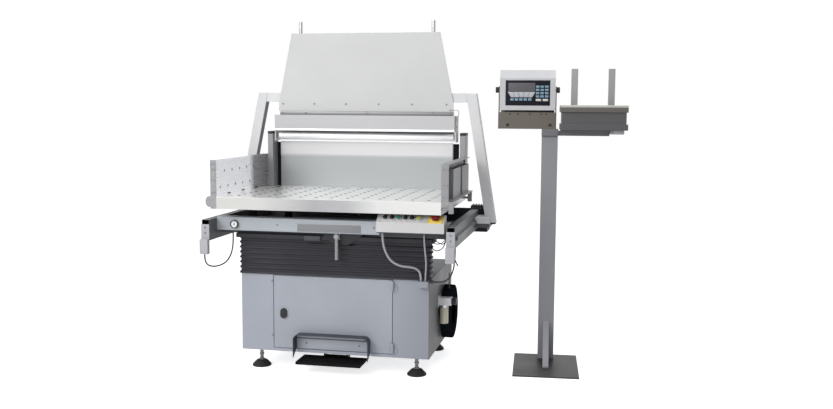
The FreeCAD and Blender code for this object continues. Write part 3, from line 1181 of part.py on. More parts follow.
def gantry():
    rear = "gantry_back + crossbar_depth / 2"
    top_half = TABLE_RIGHT + " + leg_top_reach - leg_width"
    spread = "(" + SIDE_OUT + " + leg_foot_reach - table_width / 2 - leg_top_reach)"
    drop = "(gantry_top - leg_foot)"
    left_top = "gantry_side - (" + top_half + ")"
    right_top = "gantry_side + " + top_half
    left_low = left_top + " - crossbar_height * (" + spread + " + gantry_side) / " + drop
    right_low = right_top + " + crossbar_height * (" + spread + " - gantry_side) / " + drop
    body = profile("XZ_Plane", [(left_low, CROSSBAR_LOW), (left_top, "gantry_top"), (right_top, "gantry_top"),
                                (right_low, CROSSBAR_LOW)], "crossbar_depth")
    at(body, "0", rear)
    bores = []
    bushes = []
    for x in ROD_PLACES:
        bushes.append(bar(x, "gantry_back", CROSSBAR_LOW + " - bush_length", "bush_radius",
                          "2 * bush_length"))
        bores.append(bar(x, "gantry_back", "board_bottom", "guide_rod_radius + pin_clearance",
                         "gantry_top - board_bottom + bush_length"))
    bores.append(bar("gantry_side", "gantry_back", "board_bottom", "lift_rod_radius + pin_clearance",
                     "gantry_top - board_bottom + bush_length"))
    piece("crossbar", cut(union([body] + bushes), bores))
    for label, sign in (("left_leg", -1), ("right_leg", 1)):
        leg(label, sign, rear, top_half)
    board_corners = [("-board_low_half", "board_bottom"),
                     ("board_step - board_low_half", "board_bottom + board_foot"),
                     ("-board_top_half", "board_bottom + board_height"),
                     ("board_top_half", "board_bottom + board_height"),
                     ("board_low_half - board_step", "board_bottom + board_foot"),
                     ("board_low_half", "board_bottom")]
    piece("roller_board", at(profile("XZ_Plane", board_corners, "board_thick"), "gantry_side",
                             CROSSBAR_FRONT))
    barrel = bar("gantry_side", "gantry_back", "gantry_top", "lift_radius", "lift_length")
    room = bar("gantry_side", "gantry_back", "gantry_top + lift_cap", "lift_bore",
               "lift_length - 2 * lift_cap")
    bore = bar("gantry_side", "gantry_back", "gantry_top - lift_cap", "lift_rod_radius + pin_clearance",
               "3 * lift_cap")
    piece("lift_cylinder", cut(barrel, [room, bore]))


def leg(label, sign, rear, top_half):
    side = "" if sign > 0 else "-"
    foot_in = SIDE_OUT + " + leg_foot_reach - leg_width"
    top = [side + "(" + x + ") + gantry_side" for x in (top_half, top_half + " + leg_width")]
    foot = [side + "(" + x + ")" for x in (foot_in + " + leg_width", foot_in)]
    corners = [(x, "gantry_top") for x in top] + [(x, "leg_foot") for x in foot]
    body = at(profile("XZ_Plane", corners, "crossbar_depth"), "0", rear)
    low = "rail_height - carriage_low"
    width = "leg_foot_reach - leg_width / 2 - carriage_gap"
    carriage = block(mirrored(sign, SIDE_OUT + " + carriage_gap", width),
                     "gantry_back - carriage_length / 2", low,
                     width, "carriage_length", "carriage_height")
    slot = block(mirrored(sign, SIDE_OUT, "rail_depth + slide_gap"), "gantry_back - carriage_length",
                 "rail_height - slide_gap", "rail_depth + slide_gap", "2 * carriage_length",
                 "rail_size + 2 * slide_gap")
    piece(label, cut(union([body, carriage]), [slot]))


def press_head():
    beam = block("gantry_side - press_beam_half", CROSSBAR_FRONT, HOOD_TOP, "2 * press_beam_half",
                 "crossbar_depth",
                 "press_beam_height")
    back = HOOD_FRONT + " + hood_depth"
    corners = [(HOOD_FRONT, HOOD_LOW), (HOOD_FRONT, HOOD_TOP), (back, HOOD_TOP), (back, HOOD_LOW),
               (back + " - hood_sheet", HOOD_LOW), (back + " - hood_sheet", HOOD_TOP + " - hood_sheet"),
               (HOOD_FRONT + " + hood_sheet", HOOD_TOP + " - hood_sheet"),
               (HOOD_FRONT + " + hood_sheet", HOOD_LOW)]
    hood_left = "gantry_side - (" + HOOD_HALF + ")"
    channel = at(profile("YZ_Plane", corners, "2 * (" + HOOD_HALF + ")"), hood_left)
    edge = bar(hood_left, HOOD_FRONT + " + hood_edge_radius", HOOD_LOW, "hood_edge_radius",
               "2 * (" + HOOD_HALF + ")", "x")
    parts = [beam, channel, edge]
    low = ROLLER_Z + " - roller_radius - end_plate_margin"
    for sign in (1, -1):
        parts.append(block(mirrored(sign, HOOD_HALF, "end_plate") + " + gantry_side",
                           ROLLER_Y + " - end_plate_width / 2", low, "end_plate", "end_plate_width",
                           "roller_drop + roller_radius + end_plate_margin"))
    bore = bar("-table_width", ROLLER_Y, ROLLER_Z, "journal_radius + pin_clearance", "2 * table_width", "x")
    piece("roller_hood", cut(union(parts), [bore]))
    roller = bar(hood_left + " + roller_end_gap", ROLLER_Y, ROLLER_Z, "roller_radius",
                 "2 * (" + HOOD_HALF + " - roller_end_gap)", "x")
    journal = bar(hood_left + " - end_plate", ROLLER_Y, ROLLER_Z, "journal_radius",
                  "2 * (" + HOOD_HALF + " + end_plate)", "x")
    piece("press_roller", union([roller, journal]))
    rods = [bar(x, "gantry_back", HEAD_TOP, "guide_rod_radius", "guide_rod_top - board_bottom + head_gap")
            for x in ROD_PLACES]
    piston_low = "gantry_top + lift_length - lift_cap - piston_room - piston_length"
    lift_rod = bar("gantry_side", "gantry_back", HEAD_TOP, "lift_rod_radius",
                   piston_low + " - board_bottom + head_gap + piston_length / 2")
    piston = bar("gantry_side", "gantry_back", piston_low, "lift_bore - pin_clearance", "piston_length")
    piece("head_rods", bundle(rods + [union([lift_rod, piston])]))


def on_stand(item):
    """Turn a piece made round the stand plate's middle to where the stand stands."""
    item.Placement = FreeCAD.Placement(FreeCAD.Vector(), FreeCAD.Rotation(UP, number("stand_turn")))
    return at(item, "stand_right", "stand_back")


def stand():
    plate = block("-stand_width / 2", "-stand_depth / 2", "0", "stand_width", "stand_depth", "stand_plate")
    column = block("-column_size / 2", "column_back - column_size / 2", "stand_plate", "column_size",
                   "column_size",
                   "column_top - stand_plate")
    room = block("column_wall - column_size / 2", "column_back - column_size / 2 + column_wall",
                 "stand_plate + column_wall", "column_size - 2 * column_wall",
                 "column_size - 2 * column_wall",
                 "column_top - stand_plate - column_wall")
    face = "column_back - column_size / 2"
    gusset = profile("YZ_Plane", [(face + " - gusset_length", "stand_plate"),
                                  (face + " - gusset_length", "stand_plate + gusset_toe"),
                                  (face, "stand_plate + gusset_height"), (face, "stand_plate")],
                                  "gusset_thick")
    at(gusset, "-gusset_thick / 2")
    head = block("-head_half", "column_back - head_depth / 2", "column_top", "2 * head_half", "head_depth",
                 "head_height")
    arm = block("head_half", "column_back - arm_depth / 2", "column_top", "arm_length", "arm_depth",
                "arm_height")
    piece("stand_frame", on_stand(union([plate, cut(column, [room]), gusset, head, arm])))


def scale():
    left = SCALE_LEFT
    front = "column_back - scale_depth / 2"
    lower = block(left, front, SCALE_LOW, "scale_width", "scale_depth", "scale_low_height")
    upper = block(left + " + scale_inset", front + " + scale_inset", SCALE_LOW + " + scale_low_height",
                  "scale_width - 2 * scale_inset", "scale_depth - 2 * scale_inset", "scale_up_height")
    parts = [lower, upper]
    for x in ("head_half + 2 * scale_gap + scale_foot_radius", "head_half + arm_length - scale_foot_radius"):
        parts.append(bar(x, "column_back", "column_top + arm_height", "scale_foot_radius",
                         "scale_foot_height"))
    piece("scale_body", on_stand(union(parts)))
    low = SCALE_LOW + " + scale_low_height + scale_up_height"
    tray = block(left, front, low, "scale_width", "scale_depth", "pan_height")
    under = block(left + " + pan_sheet", front + " + pan_sheet", low + " - pan_sheet",
                  "scale_width - 2 * pan_sheet", "scale_depth - 2 * pan_sheet", "pan_height")
    hub = block(left + " + (scale_width - pan_hub) / 2", "column_back - pan_hub / 2", low, "pan_hub",
                "pan_hub",
                "pan_height")
    parts = [cut(tray, [under]), hub]
    for x in (left + " - pan_post_shift + pan_post_inset",
              left + " - pan_post_shift + scale_width - pan_post_inset - pan_post_width"):
        parts.append(block(x, "column_back - pan_post_thick / 2", low + " + pan_height", "pan_post_width",
                           "pan_post_thick", "pan_post_height"))
    piece("scale_pan", on_stand(union(parts)))


def indicator():
    arm_left = INDICATOR_X + " - bracket_gap - bracket_sheet"
    arm_right = INDICATOR_X + " + indicator_width + bracket_gap"
    hinge_y = INDICATOR_Y + " + hinge_back"
    hinge_z = INDICATOR_LOW + " + hinge_rise"
    skirt_y = INDICATOR_Y + " + bracket_sheet"
    width = "indicator_width + 2 * (bracket_gap + bracket_sheet)"
    base = block(arm_left, skirt_y, HEAD_LEVEL, width, "bracket_depth", "bracket_sheet")
    skirt = block(arm_left, skirt_y, HEAD_LEVEL, width, "bracket_sheet", "bracket_height")
    parts = [base, skirt]
    for x in (arm_left, arm_right):
        parts.append(block(x, skirt_y, HEAD_LEVEL, "bracket_sheet", "bracket_depth", "bracket_height"))
        parts.append(block(x, hinge_y + " - bracket_arm_width / 2", HEAD_LEVEL + " + bracket_height",
                           "bracket_sheet",
                           "bracket_arm_width", "indicator_gap + hinge_rise + bracket_arm_width / 2"))
    bore = bar("-2 * indicator_width", hinge_y, hinge_z, "hinge_stub_radius + pin_clearance",
               "4 * indicator_width",
               "x")
    piece("indicator_bracket", on_stand(cut(union(parts), [bore])))
    top = INDICATOR_LOW + " + indicator_height"
    corners = [(INDICATOR_Y, INDICATOR_LOW), (INDICATOR_Y, top + " - indicator_brow"),
               (INDICATOR_Y + " + indicator_slope", top), (INDICATOR_Y + " + indicator_depth", top),
               (INDICATOR_Y + " + indicator_depth", INDICATOR_LOW)]
    case = at(profile("YZ_Plane", corners, "indicator_width"), INDICATOR_X)
    reach = "bracket_gap + bracket_sheet + clamp_length / 2"
    stubs = bar(INDICATOR_X + " - (" + reach + ")", hinge_y, hinge_z, "hinge_stub_radius",
                "indicator_width + 2 * (" + reach + ")", "x")
    piece("indicator_case", on_stand(union([case, stubs])))
    knobs = []
    for x in (arm_left + " - clamp_length - seat_gap", arm_right + " + bracket_sheet + seat_gap"):
        knob = bar(x, hinge_y, hinge_z, "clamp_radius", "clamp_length", "x")
        bore = bar(INDICATOR_X + " - (" + reach + ") - seat_gap", hinge_y, hinge_z,
                   "hinge_stub_radius + pin_clearance", "indicator_width + 2 * (" + reach + " + seat_gap)",
                   "x")
        knobs.append(cut(knob, [bore]))
    piece("clamp_knobs", on_stand(bundle(knobs)))


def cord(label, points, radius):
    """Tube along straight runs joined by tangent arcs, each as large as its two runs allow."""
    route = [FreeCAD.Vector(*point) for point in points]
    edges = []
    radii = []
    begin = route[0]
    for last, corner, following in zip(route, route[1:], route[2:]):
        before = (corner - last).normalize()
        after = (following - corner).normalize()
        turn = before.getAngle(after)
        shorter = min((corner - last).Length, (following - corner).Length)
        bend = 0.45 * shorter / math.tan(turn / 2)
        radii.append(bend)
        start = corner - before * 0.45 * shorter
        end = corner + after * 0.45 * shorter
        inward = (after - before).normalize()
        middle = corner + inward * (bend / math.cos(turn / 2) - bend)
        edges.append(Part.LineSegment(begin, start).toShape())
        edges.append(Part.Arc(start, middle, end).toShape())
        begin = end
    edges.append(Part.LineSegment(begin, route[-1]).toShape())
    path = Part.Wire(edges)
    ring = Part.Wire(Part.makeCircle(radius, route[0], route[1] - route[0]))
    tube = path.makePipeShell([ring], True, False)
    share = tube.Volume / (math.pi * radius * radius * path.Length)
    print("%s length %.0f radii %s volume share %.4f"
          % (label, path.Length, " ".join("%.0f" % bend for bend in radii), share))
    item = doc.addObject("Part::Feature", label)
    item.Shape = tube
    item.Placement = FreeCAD.Placement()
    piece(label, item)


def cords():
    entry_x = number(CABINET_RIGHT + " - entry_inset")
    entry_y = number(CABINET_FRONT + " - entry_size / 2")
    entry_z = number(CABINET_TOP + " - entry_drop")
    half_pitch = number("entry_pitch / 2")
    box_under = number(BOX_BOTTOM)
    cord("long_conduit", [(268, -418, box_under), (268, -418, 692), (278, -412, 640), (302, -402, 592),
                          (348, -390, 564), (398, -372, 560), (430, -354, 546),
                          (entry_x - half_pitch, entry_y, 517), (entry_x - half_pitch, entry_y, entry_z)],
                          number("conduit_radius"))
    cord("short_conduit", [(468, -410, box_under), (468, -410, 696), (470, -402, 650), (472, -386, 606),
                           (470, -366, 564), (entry_x + half_pitch, entry_y, 524),
                           (entry_x + half_pitch, entry_y, entry_z)], number("thin_conduit_radius"))
    beam_x = number(SIDE_IN + " + side_beam_width / 2")
    bracket_y = number(SIDE_FRONT + " - sensor_plate - sensor_box_depth / 2")
    cord("left_sensor_cable", [(-beam_x, bracket_y, number("sensor_low")), (-beam_x, bracket_y, 572),
                               (-596, -474, 546), (-578, -448, 536), (-558, -416, 537), (-540, -384, 548),
                               (-530, -354, 572), (-526, -332, 606), (-526, -320, 648),
                               (-526, -320, number("deck_height"))], number("cable_radius"))
    gland_y = number(CABINET_FRONT + " + side_gland_inset")
    gland_z = number(CABINET_TOP + " - side_gland_drop")
    gland_x = number(CABINET_RIGHT + " + gland_length")
    cord("right_cable", [(beam_x, -330, number("side_beam_bottom")), (beam_x, -330, 634), (602, -328, 592),
                         (596, -322, 552), (584, -314, 516), (562, -306, 490), (532, gland_y, gland_z),
                         (gland_x, gland_y, gland_z)], number("cable_radius"))


cabinet_shell()
feet()
door()
latch()
foot_guard()
pedal()
blower()
filter_unit()
tilt_drive()
bellows()
front_beam()
knee_lever()
side_beam("left_side_beam", -1)
side_beam("right_side_beam", 1)
deck()
gauge()
control_box()
sensor_brackets()
travel_motor()
rubber_mounts()
table_top()
left_fence()
right_fence()
rear_stop()
vibrator()
gantry()
press_head()
stand()
scale()
indicator()
cords()

doc.recompute()
for item in doc.Objects:
    if "Invalid" in item.State or "Error" in item.State:
        raise RuntimeError("%s (%s) failed: %s" % (item.Name, item.Label, item.State))
for item in PIECES:
    if item.Shape.isNull() or not item.Shape.isValid() or not item.Shape.Solids:
        raise RuntimeError("%s has no sound solid" % item.Label)

os.makedirs("parts", exist_ok=True)
for item in PIECES:
    item.Shape.exportStep("parts/%s.step" % item.Label)
print("%d pieces written" % len(PIECES))
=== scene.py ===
import math

import bpy
from mathutils import Matrix, Vector


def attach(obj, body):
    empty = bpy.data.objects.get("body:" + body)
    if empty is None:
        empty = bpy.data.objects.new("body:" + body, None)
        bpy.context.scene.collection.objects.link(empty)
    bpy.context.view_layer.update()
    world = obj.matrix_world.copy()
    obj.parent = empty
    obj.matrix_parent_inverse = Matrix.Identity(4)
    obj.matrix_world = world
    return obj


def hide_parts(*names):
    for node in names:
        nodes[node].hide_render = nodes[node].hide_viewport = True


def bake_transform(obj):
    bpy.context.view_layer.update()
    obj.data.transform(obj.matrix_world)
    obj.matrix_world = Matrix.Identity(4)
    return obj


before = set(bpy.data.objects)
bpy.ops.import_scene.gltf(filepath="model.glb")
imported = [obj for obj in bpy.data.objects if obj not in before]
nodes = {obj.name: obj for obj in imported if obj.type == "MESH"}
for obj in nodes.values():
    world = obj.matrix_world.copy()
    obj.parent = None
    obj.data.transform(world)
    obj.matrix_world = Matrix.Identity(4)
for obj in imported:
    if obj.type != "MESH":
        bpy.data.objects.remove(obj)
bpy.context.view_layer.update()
scene = bpy.context.scene

# Pieces are given in millimetres; materials, bellows, camera and light in metres
PER_METRE = 1000
UP = (0, 0, 1)
DOWN = (0, 0, -1)
FRONT = (0, -1, 0)
RIGHT = (1, 0, 0)


# Materials

COLOR = "NodeSocketColor"
NUMBER = "NodeSocketFloat"
DIRECTIONS = "NodeSocketVector"
BLACK = (0, 0, 0, 1)
WHITE = (1, 1, 1, 1)
CLOUD_DETAIL = 5.0
CLOUD_EDGES = (0.35, 0.65)
CLOUD_SCALE = 3.5
GRAIN_DETAIL = 2.0
STROKE_DETAIL = 3.0
ENAMEL_SPREAD = 0.10
RELIEF_DEPTH = 0.0006
FACING_EDGES = (0.45, 0.75)
TOP_STEP = 0.0004


def new_group(name, own_inputs):
    """Surface group that gives a colour, a roughness and a height, with the nodes at its two ends."""
    group = bpy.data.node_groups.new(name, "ShaderNodeTree")
    shared = (("Base", COLOR), ("Shade", COLOR), ("Gloss", NUMBER), ("Gloss Spread", NUMBER))
    for label, kind in own_inputs + shared:
        group.interface.new_socket(name=label, in_out="INPUT", socket_type=kind)
    for label, kind in (("Color", COLOR), ("Roughness", NUMBER), ("Height", NUMBER)):
        group.interface.new_socket(name=label, in_out="OUTPUT", socket_type=kind)
    return group, group.nodes.new("NodeGroupInput"), group.nodes.new("NodeGroupOutput")


def close_group(group, inside, outside, factor, height):
    """Let a factor run between the group's two colours and along its gloss."""
    links = group.links
    blend = group.nodes.new("ShaderNodeMix")
    blend.data_type = "RGBA"
    gloss = group.nodes.new("ShaderNodeMath")
    gloss.operation = "MULTIPLY_ADD"
    links.new(factor, blend.inputs["Factor"])
    links.new(inside.outputs["Base"], blend.inputs["A"])
    links.new(inside.outputs["Shade"], blend.inputs["B"])
    links.new(factor, gloss.inputs[0])
    links.new(inside.outputs["Gloss Spread"], gloss.inputs[1])
    links.new(inside.outputs["Gloss"], gloss.inputs[2])
    links.new(blend.outputs["Result"], outside.inputs["Color"])
    links.new(gloss.outputs[0], outside.inputs["Roughness"])
    links.new(height, outside.inputs["Height"])
    return group


def ranged(tree, start, end):
    """Node that turns values from a start to an end into nought to one."""
    span = tree.nodes.new("ShaderNodeMapRange")
    span.inputs["From Min"].default_value = start
    span.inputs["From Max"].default_value = end
    return span


def make_patina_group():
    """Slow colour and gloss changes of an enamelled or moulded surface, with a fine orange-peel height."""
    group, inside, outside = new_group("patina", (("Cloud Scale", NUMBER), ("Grain Scale", NUMBER)))
    links = group.links
    place = group.nodes.new("ShaderNodeTexCoord")
    cloud = group.nodes.new("ShaderNodeTexNoise")
    cloud.inputs["Detail"].default_value = CLOUD_DETAIL
    grain = group.nodes.new("ShaderNodeTexNoise")
    grain.inputs["Detail"].default_value = GRAIN_DETAIL
    span = ranged(group, *CLOUD_EDGES)
    links.new(place.outputs["Object"], cloud.inputs["Vector"])
    links.new(place.outputs["Object"], grain.inputs["Vector"])
    links.new(inside.outputs["Cloud Scale"], cloud.inputs["Scale"])
    links.new(inside.outputs["Grain Scale"], grain.inputs["Scale"])
    links.new(cloud.outputs["Fac"], span.inputs["Value"])
    return close_group(group, inside, outside, span.outputs["Result"], grain.outputs["Fac"])


def make_brushing_group():
    """Long fine strokes of ground or brushed metal along one direction."""
    group, inside, outside = new_group("brushing", (("Strokes", DIRECTIONS),))
    links = group.links
    place = group.nodes.new("ShaderNodeTexCoord")
    stretch = group.nodes.new("ShaderNodeVectorMath")
    stretch.operation = "MULTIPLY"
    strokes = group.nodes.new("ShaderNodeTexNoise")
    strokes.inputs["Scale"].default_value = 1.0
    strokes.inputs["Detail"].default_value = STROKE_DETAIL
    links.new(place.outputs["Object"], stretch.inputs[0])
    links.new(inside.outputs["Strokes"], stretch.inputs[1])
    links.new(stretch.outputs["Vector"], strokes.inputs["Vector"])
    return close_group(group, inside, outside, strokes.outputs["Fac"], strokes.outputs["Fac"])


PATINA = make_patina_group()
BRUSHING = make_brushing_group()


def tone(shade, factor=1.0):
    return tuple(channel * factor for channel in shade) + (1.0,)


def new_finish(name, group, metallic, bump):
    """Material whose colour, gloss and height come from a surface group."""
    finish = bpy.data.materials.new(name)
    finish.use_nodes = True
    tree = finish.node_tree
    shader = tree.nodes["Principled BSDF"]
    shader.inputs["Metallic"].default_value = metallic
    surface = tree.nodes.new("ShaderNodeGroup")
    surface.node_tree = group
    relief = tree.nodes.new("ShaderNodeBump")
    relief.inputs["Strength"].default_value = bump
    relief.inputs["Distance"].default_value = RELIEF_DEPTH
    tree.links.new(surface.outputs["Color"], shader.inputs["Base Color"])
    tree.links.new(surface.outputs["Roughness"], shader.inputs["Roughness"])
    tree.links.new(surface.outputs["Height"], relief.inputs["Height"])
    tree.links.new(relief.outputs["Normal"], shader.inputs["Normal"])
    return finish, surface, shader


def set_surface(surface, shade, drift, gloss, spread):
    """Two colours and the range of gloss of a surface group."""
    surface.inputs["Base"].default_value = tone(shade)
    surface.inputs["Shade"].default_value = tone(shade, drift)
    surface.inputs["Gloss"].default_value = gloss
    surface.inputs["Gloss Spread"].default_value = spread


def enamel(name, shade, gloss=0.38, drift=0.93, bump=0.12, grain=700.0, coat=0.0, specular=0.5):
    finish, surface, shader = new_finish(name, PATINA, 0.0, bump)
    shader.inputs["Coat Weight"].default_value = coat
    shader.inputs["Specular IOR Level"].default_value = specular
    surface.inputs["Cloud Scale"].default_value = CLOUD_SCALE
    surface.inputs["Grain Scale"].default_value = grain
    set_surface(surface, shade, drift, gloss, ENAMEL_SPREAD)
    return finish


def ground_metal(name, shade, strokes, gloss, spread=0.10, bump=0.1, metallic=1.0, drift=0.85):
    finish, surface, _ = new_finish(name, BRUSHING, metallic, bump)
    surface.inputs["Strokes"].default_value = strokes
    set_surface(surface, shade, drift, gloss, spread)
    return finish


def surface_of(finish):
    return next(node for node in finish.node_tree.nodes if node.type == "GROUP")


def mixed(tree, factor, first, second):
    """Colour between two colours or sockets, by a number or socket from nought to one."""
    blend = tree.nodes.new("ShaderNodeMix")
    blend.data_type = "RGBA"
    for entry, source in (("Factor", factor), ("A", first), ("B", second)):
        if isinstance(source, bpy.types.NodeSocket):
            tree.links.new(source, blend.inputs[entry])
        else:
            blend.inputs[entry].default_value = source
    return blend.outputs["Result"]


def along_axis(tree, source, axis, start, end):
    """Socket that runs from nought to one between two values of a vector's axis."""
    split = tree.nodes.new("ShaderNodeSeparateXYZ")
    span = ranged(tree, start, end)
    tree.links.new(source, split.inputs["Vector"])
    tree.links.new(split.outputs[axis], span.inputs["Value"])
    return span.outputs["Result"]


def toned(finish, axis, stops, drift=0.96, top=None):
    """Let a finish change colour along an axis, stop by stop, and take one colour above a level."""
    tree = finish.node_tree
    surface = surface_of(finish)
    place = tree.nodes.new("ShaderNodeTexCoord").outputs["Object"]
    first, last = stops[0][0], stops[-1][0]
    ramp = tree.nodes.new("ShaderNodeValToRGB")
    points = ramp.color_ramp.elements
    points.remove(points[1])
    points[0].position = 0.0
    points[0].color = tone(stops[0][1])
    for spot, shade in stops[1:]:
        points.new((spot - first) / (last - first)).color = tone(shade)
    tree.links.new(along_axis(tree, place, axis, first, last), ramp.inputs["Fac"])
    base = ramp.outputs["Color"]
    if top:
        level, shade = top
        base = mixed(tree, along_axis(tree, place, "Z", level - TOP_STEP, level), base, tone(shade))
    tree.links.new(base, surface.inputs["Base"])
    tree.links.new(mixed(tree, 1.0 - drift, base, BLACK), surface.inputs["Shade"])
    return finish


def shaded_side(finish, axis, shade):
    """Paint shade onto the faces of a toned finish that look along an axis: they take a darker colour that
    stands for their shade.
    """
    tree = finish.node_tree
    surface = surface_of(finish)
    normal = tree.nodes.new("ShaderNodeNewGeometry").outputs["Normal"]
    facing = along_axis(tree, normal, axis, *FACING_EDGES)
    for entry in ("Base", "Shade"):
        source = surface.inputs[entry].links[0].from_socket
        tree.links.new(mixed(tree, facing, source, tone(shade)), surface.inputs[entry])


CABINET_GREY = (0.325, 0.345, 0.39)
GANTRY_GREY = (0.60, 0.60, 0.605)
# Painted shade for the left leg's inner, right-facing faces
LEG_PAINTED_SHADE = (0.10, 0.10, 0.105)

# Places along an axis, each with the colour that a finish is given there; where a table paints shade,
# reflection or highlight into the colour, the note above it says so
# Cabinet shell: the front darkens towards the right, and the right side face, past x 0.4796, is much darker;
# both are painted shade
SHELL_PAINTED_SHADE_STOPS = [(-0.49, (0.325, 0.342, 0.388)), (0.20, (0.315, 0.333, 0.378)),
               (0.4790, (0.245, 0.260, 0.298)), (0.4796, (0.060, 0.061, 0.065))]
LEG_STOPS = [(0.700, (0.05, 0.05, 0.055)), (0.7118, (0.05, 0.05, 0.055)), (0.7122, (0.59, 0.59, 0.595))]
STAND_STOPS = [(0.0, (0.021, 0.021, 0.022)), (0.0121, (0.021, 0.021, 0.022)),
               (0.0128, (0.225, 0.228, 0.243)), (1.170, (0.225, 0.228, 0.243)),
               (1.174, (0.125, 0.125, 0.137))]
# Table: the apron is darker in its middle than at its ends, a painted reflection in the steel; the top above
# z 0.8796 keeps one colour
TABLE_PAINTED_REFLECTION_STOPS = [(-0.56, (0.50, 0.50, 0.48)), (-0.34, (0.48, 0.48, 0.465)), (-0.06, (0.30, 0.30, 0.31)),
               (0.10, (0.33, 0.33, 0.34)), (0.26, (0.51, 0.51, 0.50)), (0.56, (0.54, 0.54, 0.53))]
TABLE_SURFACE = (0.8796, (0.96, 0.96, 0.95))
# Left fence: the darker strip at the front end is the end cap's own grey; from y -0.02 backwards the fence
# darkens, which is painted reflection and shadow
FENCE_PAINTED_REFLECTION_STOPS = [(-0.456, (0.30, 0.30, 0.31)), (-0.4524, (0.30, 0.30, 0.31)),
               (-0.4514, (0.94, 0.94, 0.97)), (-0.02, (0.92, 0.92, 0.95)), (0.05, (0.24, 0.24, 0.25)),
               (0.17, (0.205, 0.205, 0.215)), (0.285, (0.36, 0.36, 0.38))]
REAR_STOPS = [(0.88, (0.280, 0.293, 0.296)), (1.045, (0.300, 0.312, 0.315)),
              (1.060, (0.475, 0.475, 0.48)), (1.13, (0.485, 0.485, 0.49))]
# Scale pan: the light band from z 1.3262 to 1.3355 along the top of the rim is painted highlight
PAN_PAINTED_HIGHLIGHT_STOPS = [(1.29, (0.100, 0.091, 0.084)), (1.3245, (0.112, 0.104, 0.096)), (1.3262, (0.40, 0.39, 0.37)),
             (1.3355, (0.40, 0.39, 0.37)), (1.3375, (0.255, 0.255, 0.26)), (1.53, (0.28, 0.28, 0.285))]

# Strokes per metre of ground surfaces along x, y and z
EVEN_STROKES = (200.0, 200.0, 200.0)
TABLE_STROKES = (3.0, 500.0, 500.0)
FENCE_STROKES = (60.0, 3.0, 60.0)
REAR_STROKES = (3.0, 60.0, 60.0)
HOOD_STROKES = (3.0, 200.0, 200.0)
PAN_STROKES = (4.0, 400.0, 400.0)
POST_STROKES = (200.0, 200.0, 4.0)
TUBE_STROKES = (300.0, 300.0, 4.0)
ROD_STROKES = (300.0, 300.0, 6.0)

CABINET_PAINT = enamel("cabinet_enamel", CABINET_GREY, gloss=0.42)
SHELL_PAINT = toned(enamel("shell_enamel_painted_shade", CABINET_GREY, gloss=0.42), "X", SHELL_PAINTED_SHADE_STOPS)
BEAM_PAINT = enamel("beam_enamel", (0.375, 0.405, 0.435), gloss=0.40)
GANTRY_PAINT = enamel("gantry_enamel", GANTRY_GREY)
LEG_PAINT = toned(enamel("leg_enamel", GANTRY_GREY), "Z", LEG_STOPS)
LEFT_LEG_PAINT = toned(enamel("left_leg_enamel_painted_shade", GANTRY_GREY, specular=0.2), "Z", LEG_STOPS)
# The left leg's faces that look along +x take painted shade
shaded_side(LEFT_LEG_PAINT, "X", LEG_PAINTED_SHADE)
BOARD_PAINT = enamel("board_enamel", (0.51, 0.51, 0.51), gloss=0.45, drift=0.97)
BOX_PAINT = enamel("box_enamel", (0.55, 0.54, 0.543))
SENSOR_PAINT = enamel("sensor_enamel", (0.375, 0.38, 0.40), gloss=0.40)
DARK_PAINT = enamel("dark_enamel", (0.050, 0.052, 0.058), gloss=0.45, specular=0.3)
MOTOR_PAINT = enamel("motor_enamel", (0.014, 0.015, 0.018), gloss=0.42, specular=0.2)
RAIL_PAINT = enamel("rail_enamel", (0.092, 0.094, 0.100), gloss=0.40, specular=0.4)
STAND_PAINT = toned(enamel("stand_enamel", (0.205, 0.208, 0.222), gloss=0.40), "Z", STAND_STOPS)
SCALE_PAINT = enamel("scale_enamel", (0.058, 0.057, 0.060), gloss=0.42)
BLOWER_BLACK = enamel("blower_black", (0.012, 0.013, 0.016), gloss=0.8, bump=0.2, grain=1200.0, specular=0.0)
BLACK_PLASTIC = enamel("black_plastic", (0.014, 0.014, 0.016), gloss=0.45, bump=0.25, grain=1500.0,
                       specular=0.3)
GUARD_COATING = enamel("guard_coating", (0.045, 0.050, 0.060), gloss=0.40, bump=0.3, grain=1200.0,
                       specular=0.35)
BLACK_RUBBER = enamel("black_rubber", (0.011, 0.011, 0.012), gloss=0.75, bump=0.35, grain=1000.0,
                      specular=0.06)
FOOT_RUBBER = enamel("foot_rubber", (0.024, 0.024, 0.024), gloss=0.6, bump=0.35, grain=1000.0, specular=0.2)
BELLOWS_CLOTH = enamel("bellows_cloth", (0.017, 0.017, 0.022), gloss=0.44, drift=0.8, bump=0.3,
                       grain=1600.0, specular=0.3)
WHITE_PLASTIC = enamel("white_plastic", (0.47, 0.47, 0.485), gloss=0.40)
CONDUIT_PLASTIC = enamel("conduit_plastic", (0.33, 0.33, 0.36), gloss=0.45)
GREEN_PLASTIC = enamel("green_cap", (0.03, 0.22, 0.13), gloss=0.25, coat=0.3)
YELLOW_PLASTIC = enamel("yellow_cap", (0.42, 0.44, 0.08), gloss=0.25, coat=0.3)
RED_PLASTIC = enamel("red_cap", (0.15, 0.010, 0.010), gloss=0.5, specular=0.12)
STOP_PLATE = enamel("stop_plate", (0.80, 0.60, 0.13), gloss=0.35)
DIAL_WHITE = enamel("dial_white", (0.80, 0.80, 0.78), gloss=0.5, drift=0.97)
PANEL_BLACK = enamel("panel_black", (0.008, 0.009, 0.013), gloss=0.4, bump=0.05, specular=0.1)
DISPLAY_GREY = enamel("display_grey", (0.115, 0.110, 0.118), gloss=0.3, bump=0.03, specular=0.1)
SEGMENT_GREY = enamel("segment_grey", (0.40, 0.41, 0.44), gloss=0.35, bump=0.05)
KEY_BLUE = enamel("key_blue", (0.16, 0.26, 0.34), gloss=0.4, bump=0.1)
KEY_WHITE = enamel("key_white", (0.55, 0.55, 0.55), gloss=0.4, bump=0.1)
PLATE_GREY = enamel("plate_grey", (0.20, 0.205, 0.215), gloss=0.35, bump=0.2)
BOWL_AMBER = enamel("amber_bowl", (0.55, 0.52, 0.40), gloss=0.15, coat=0.4)

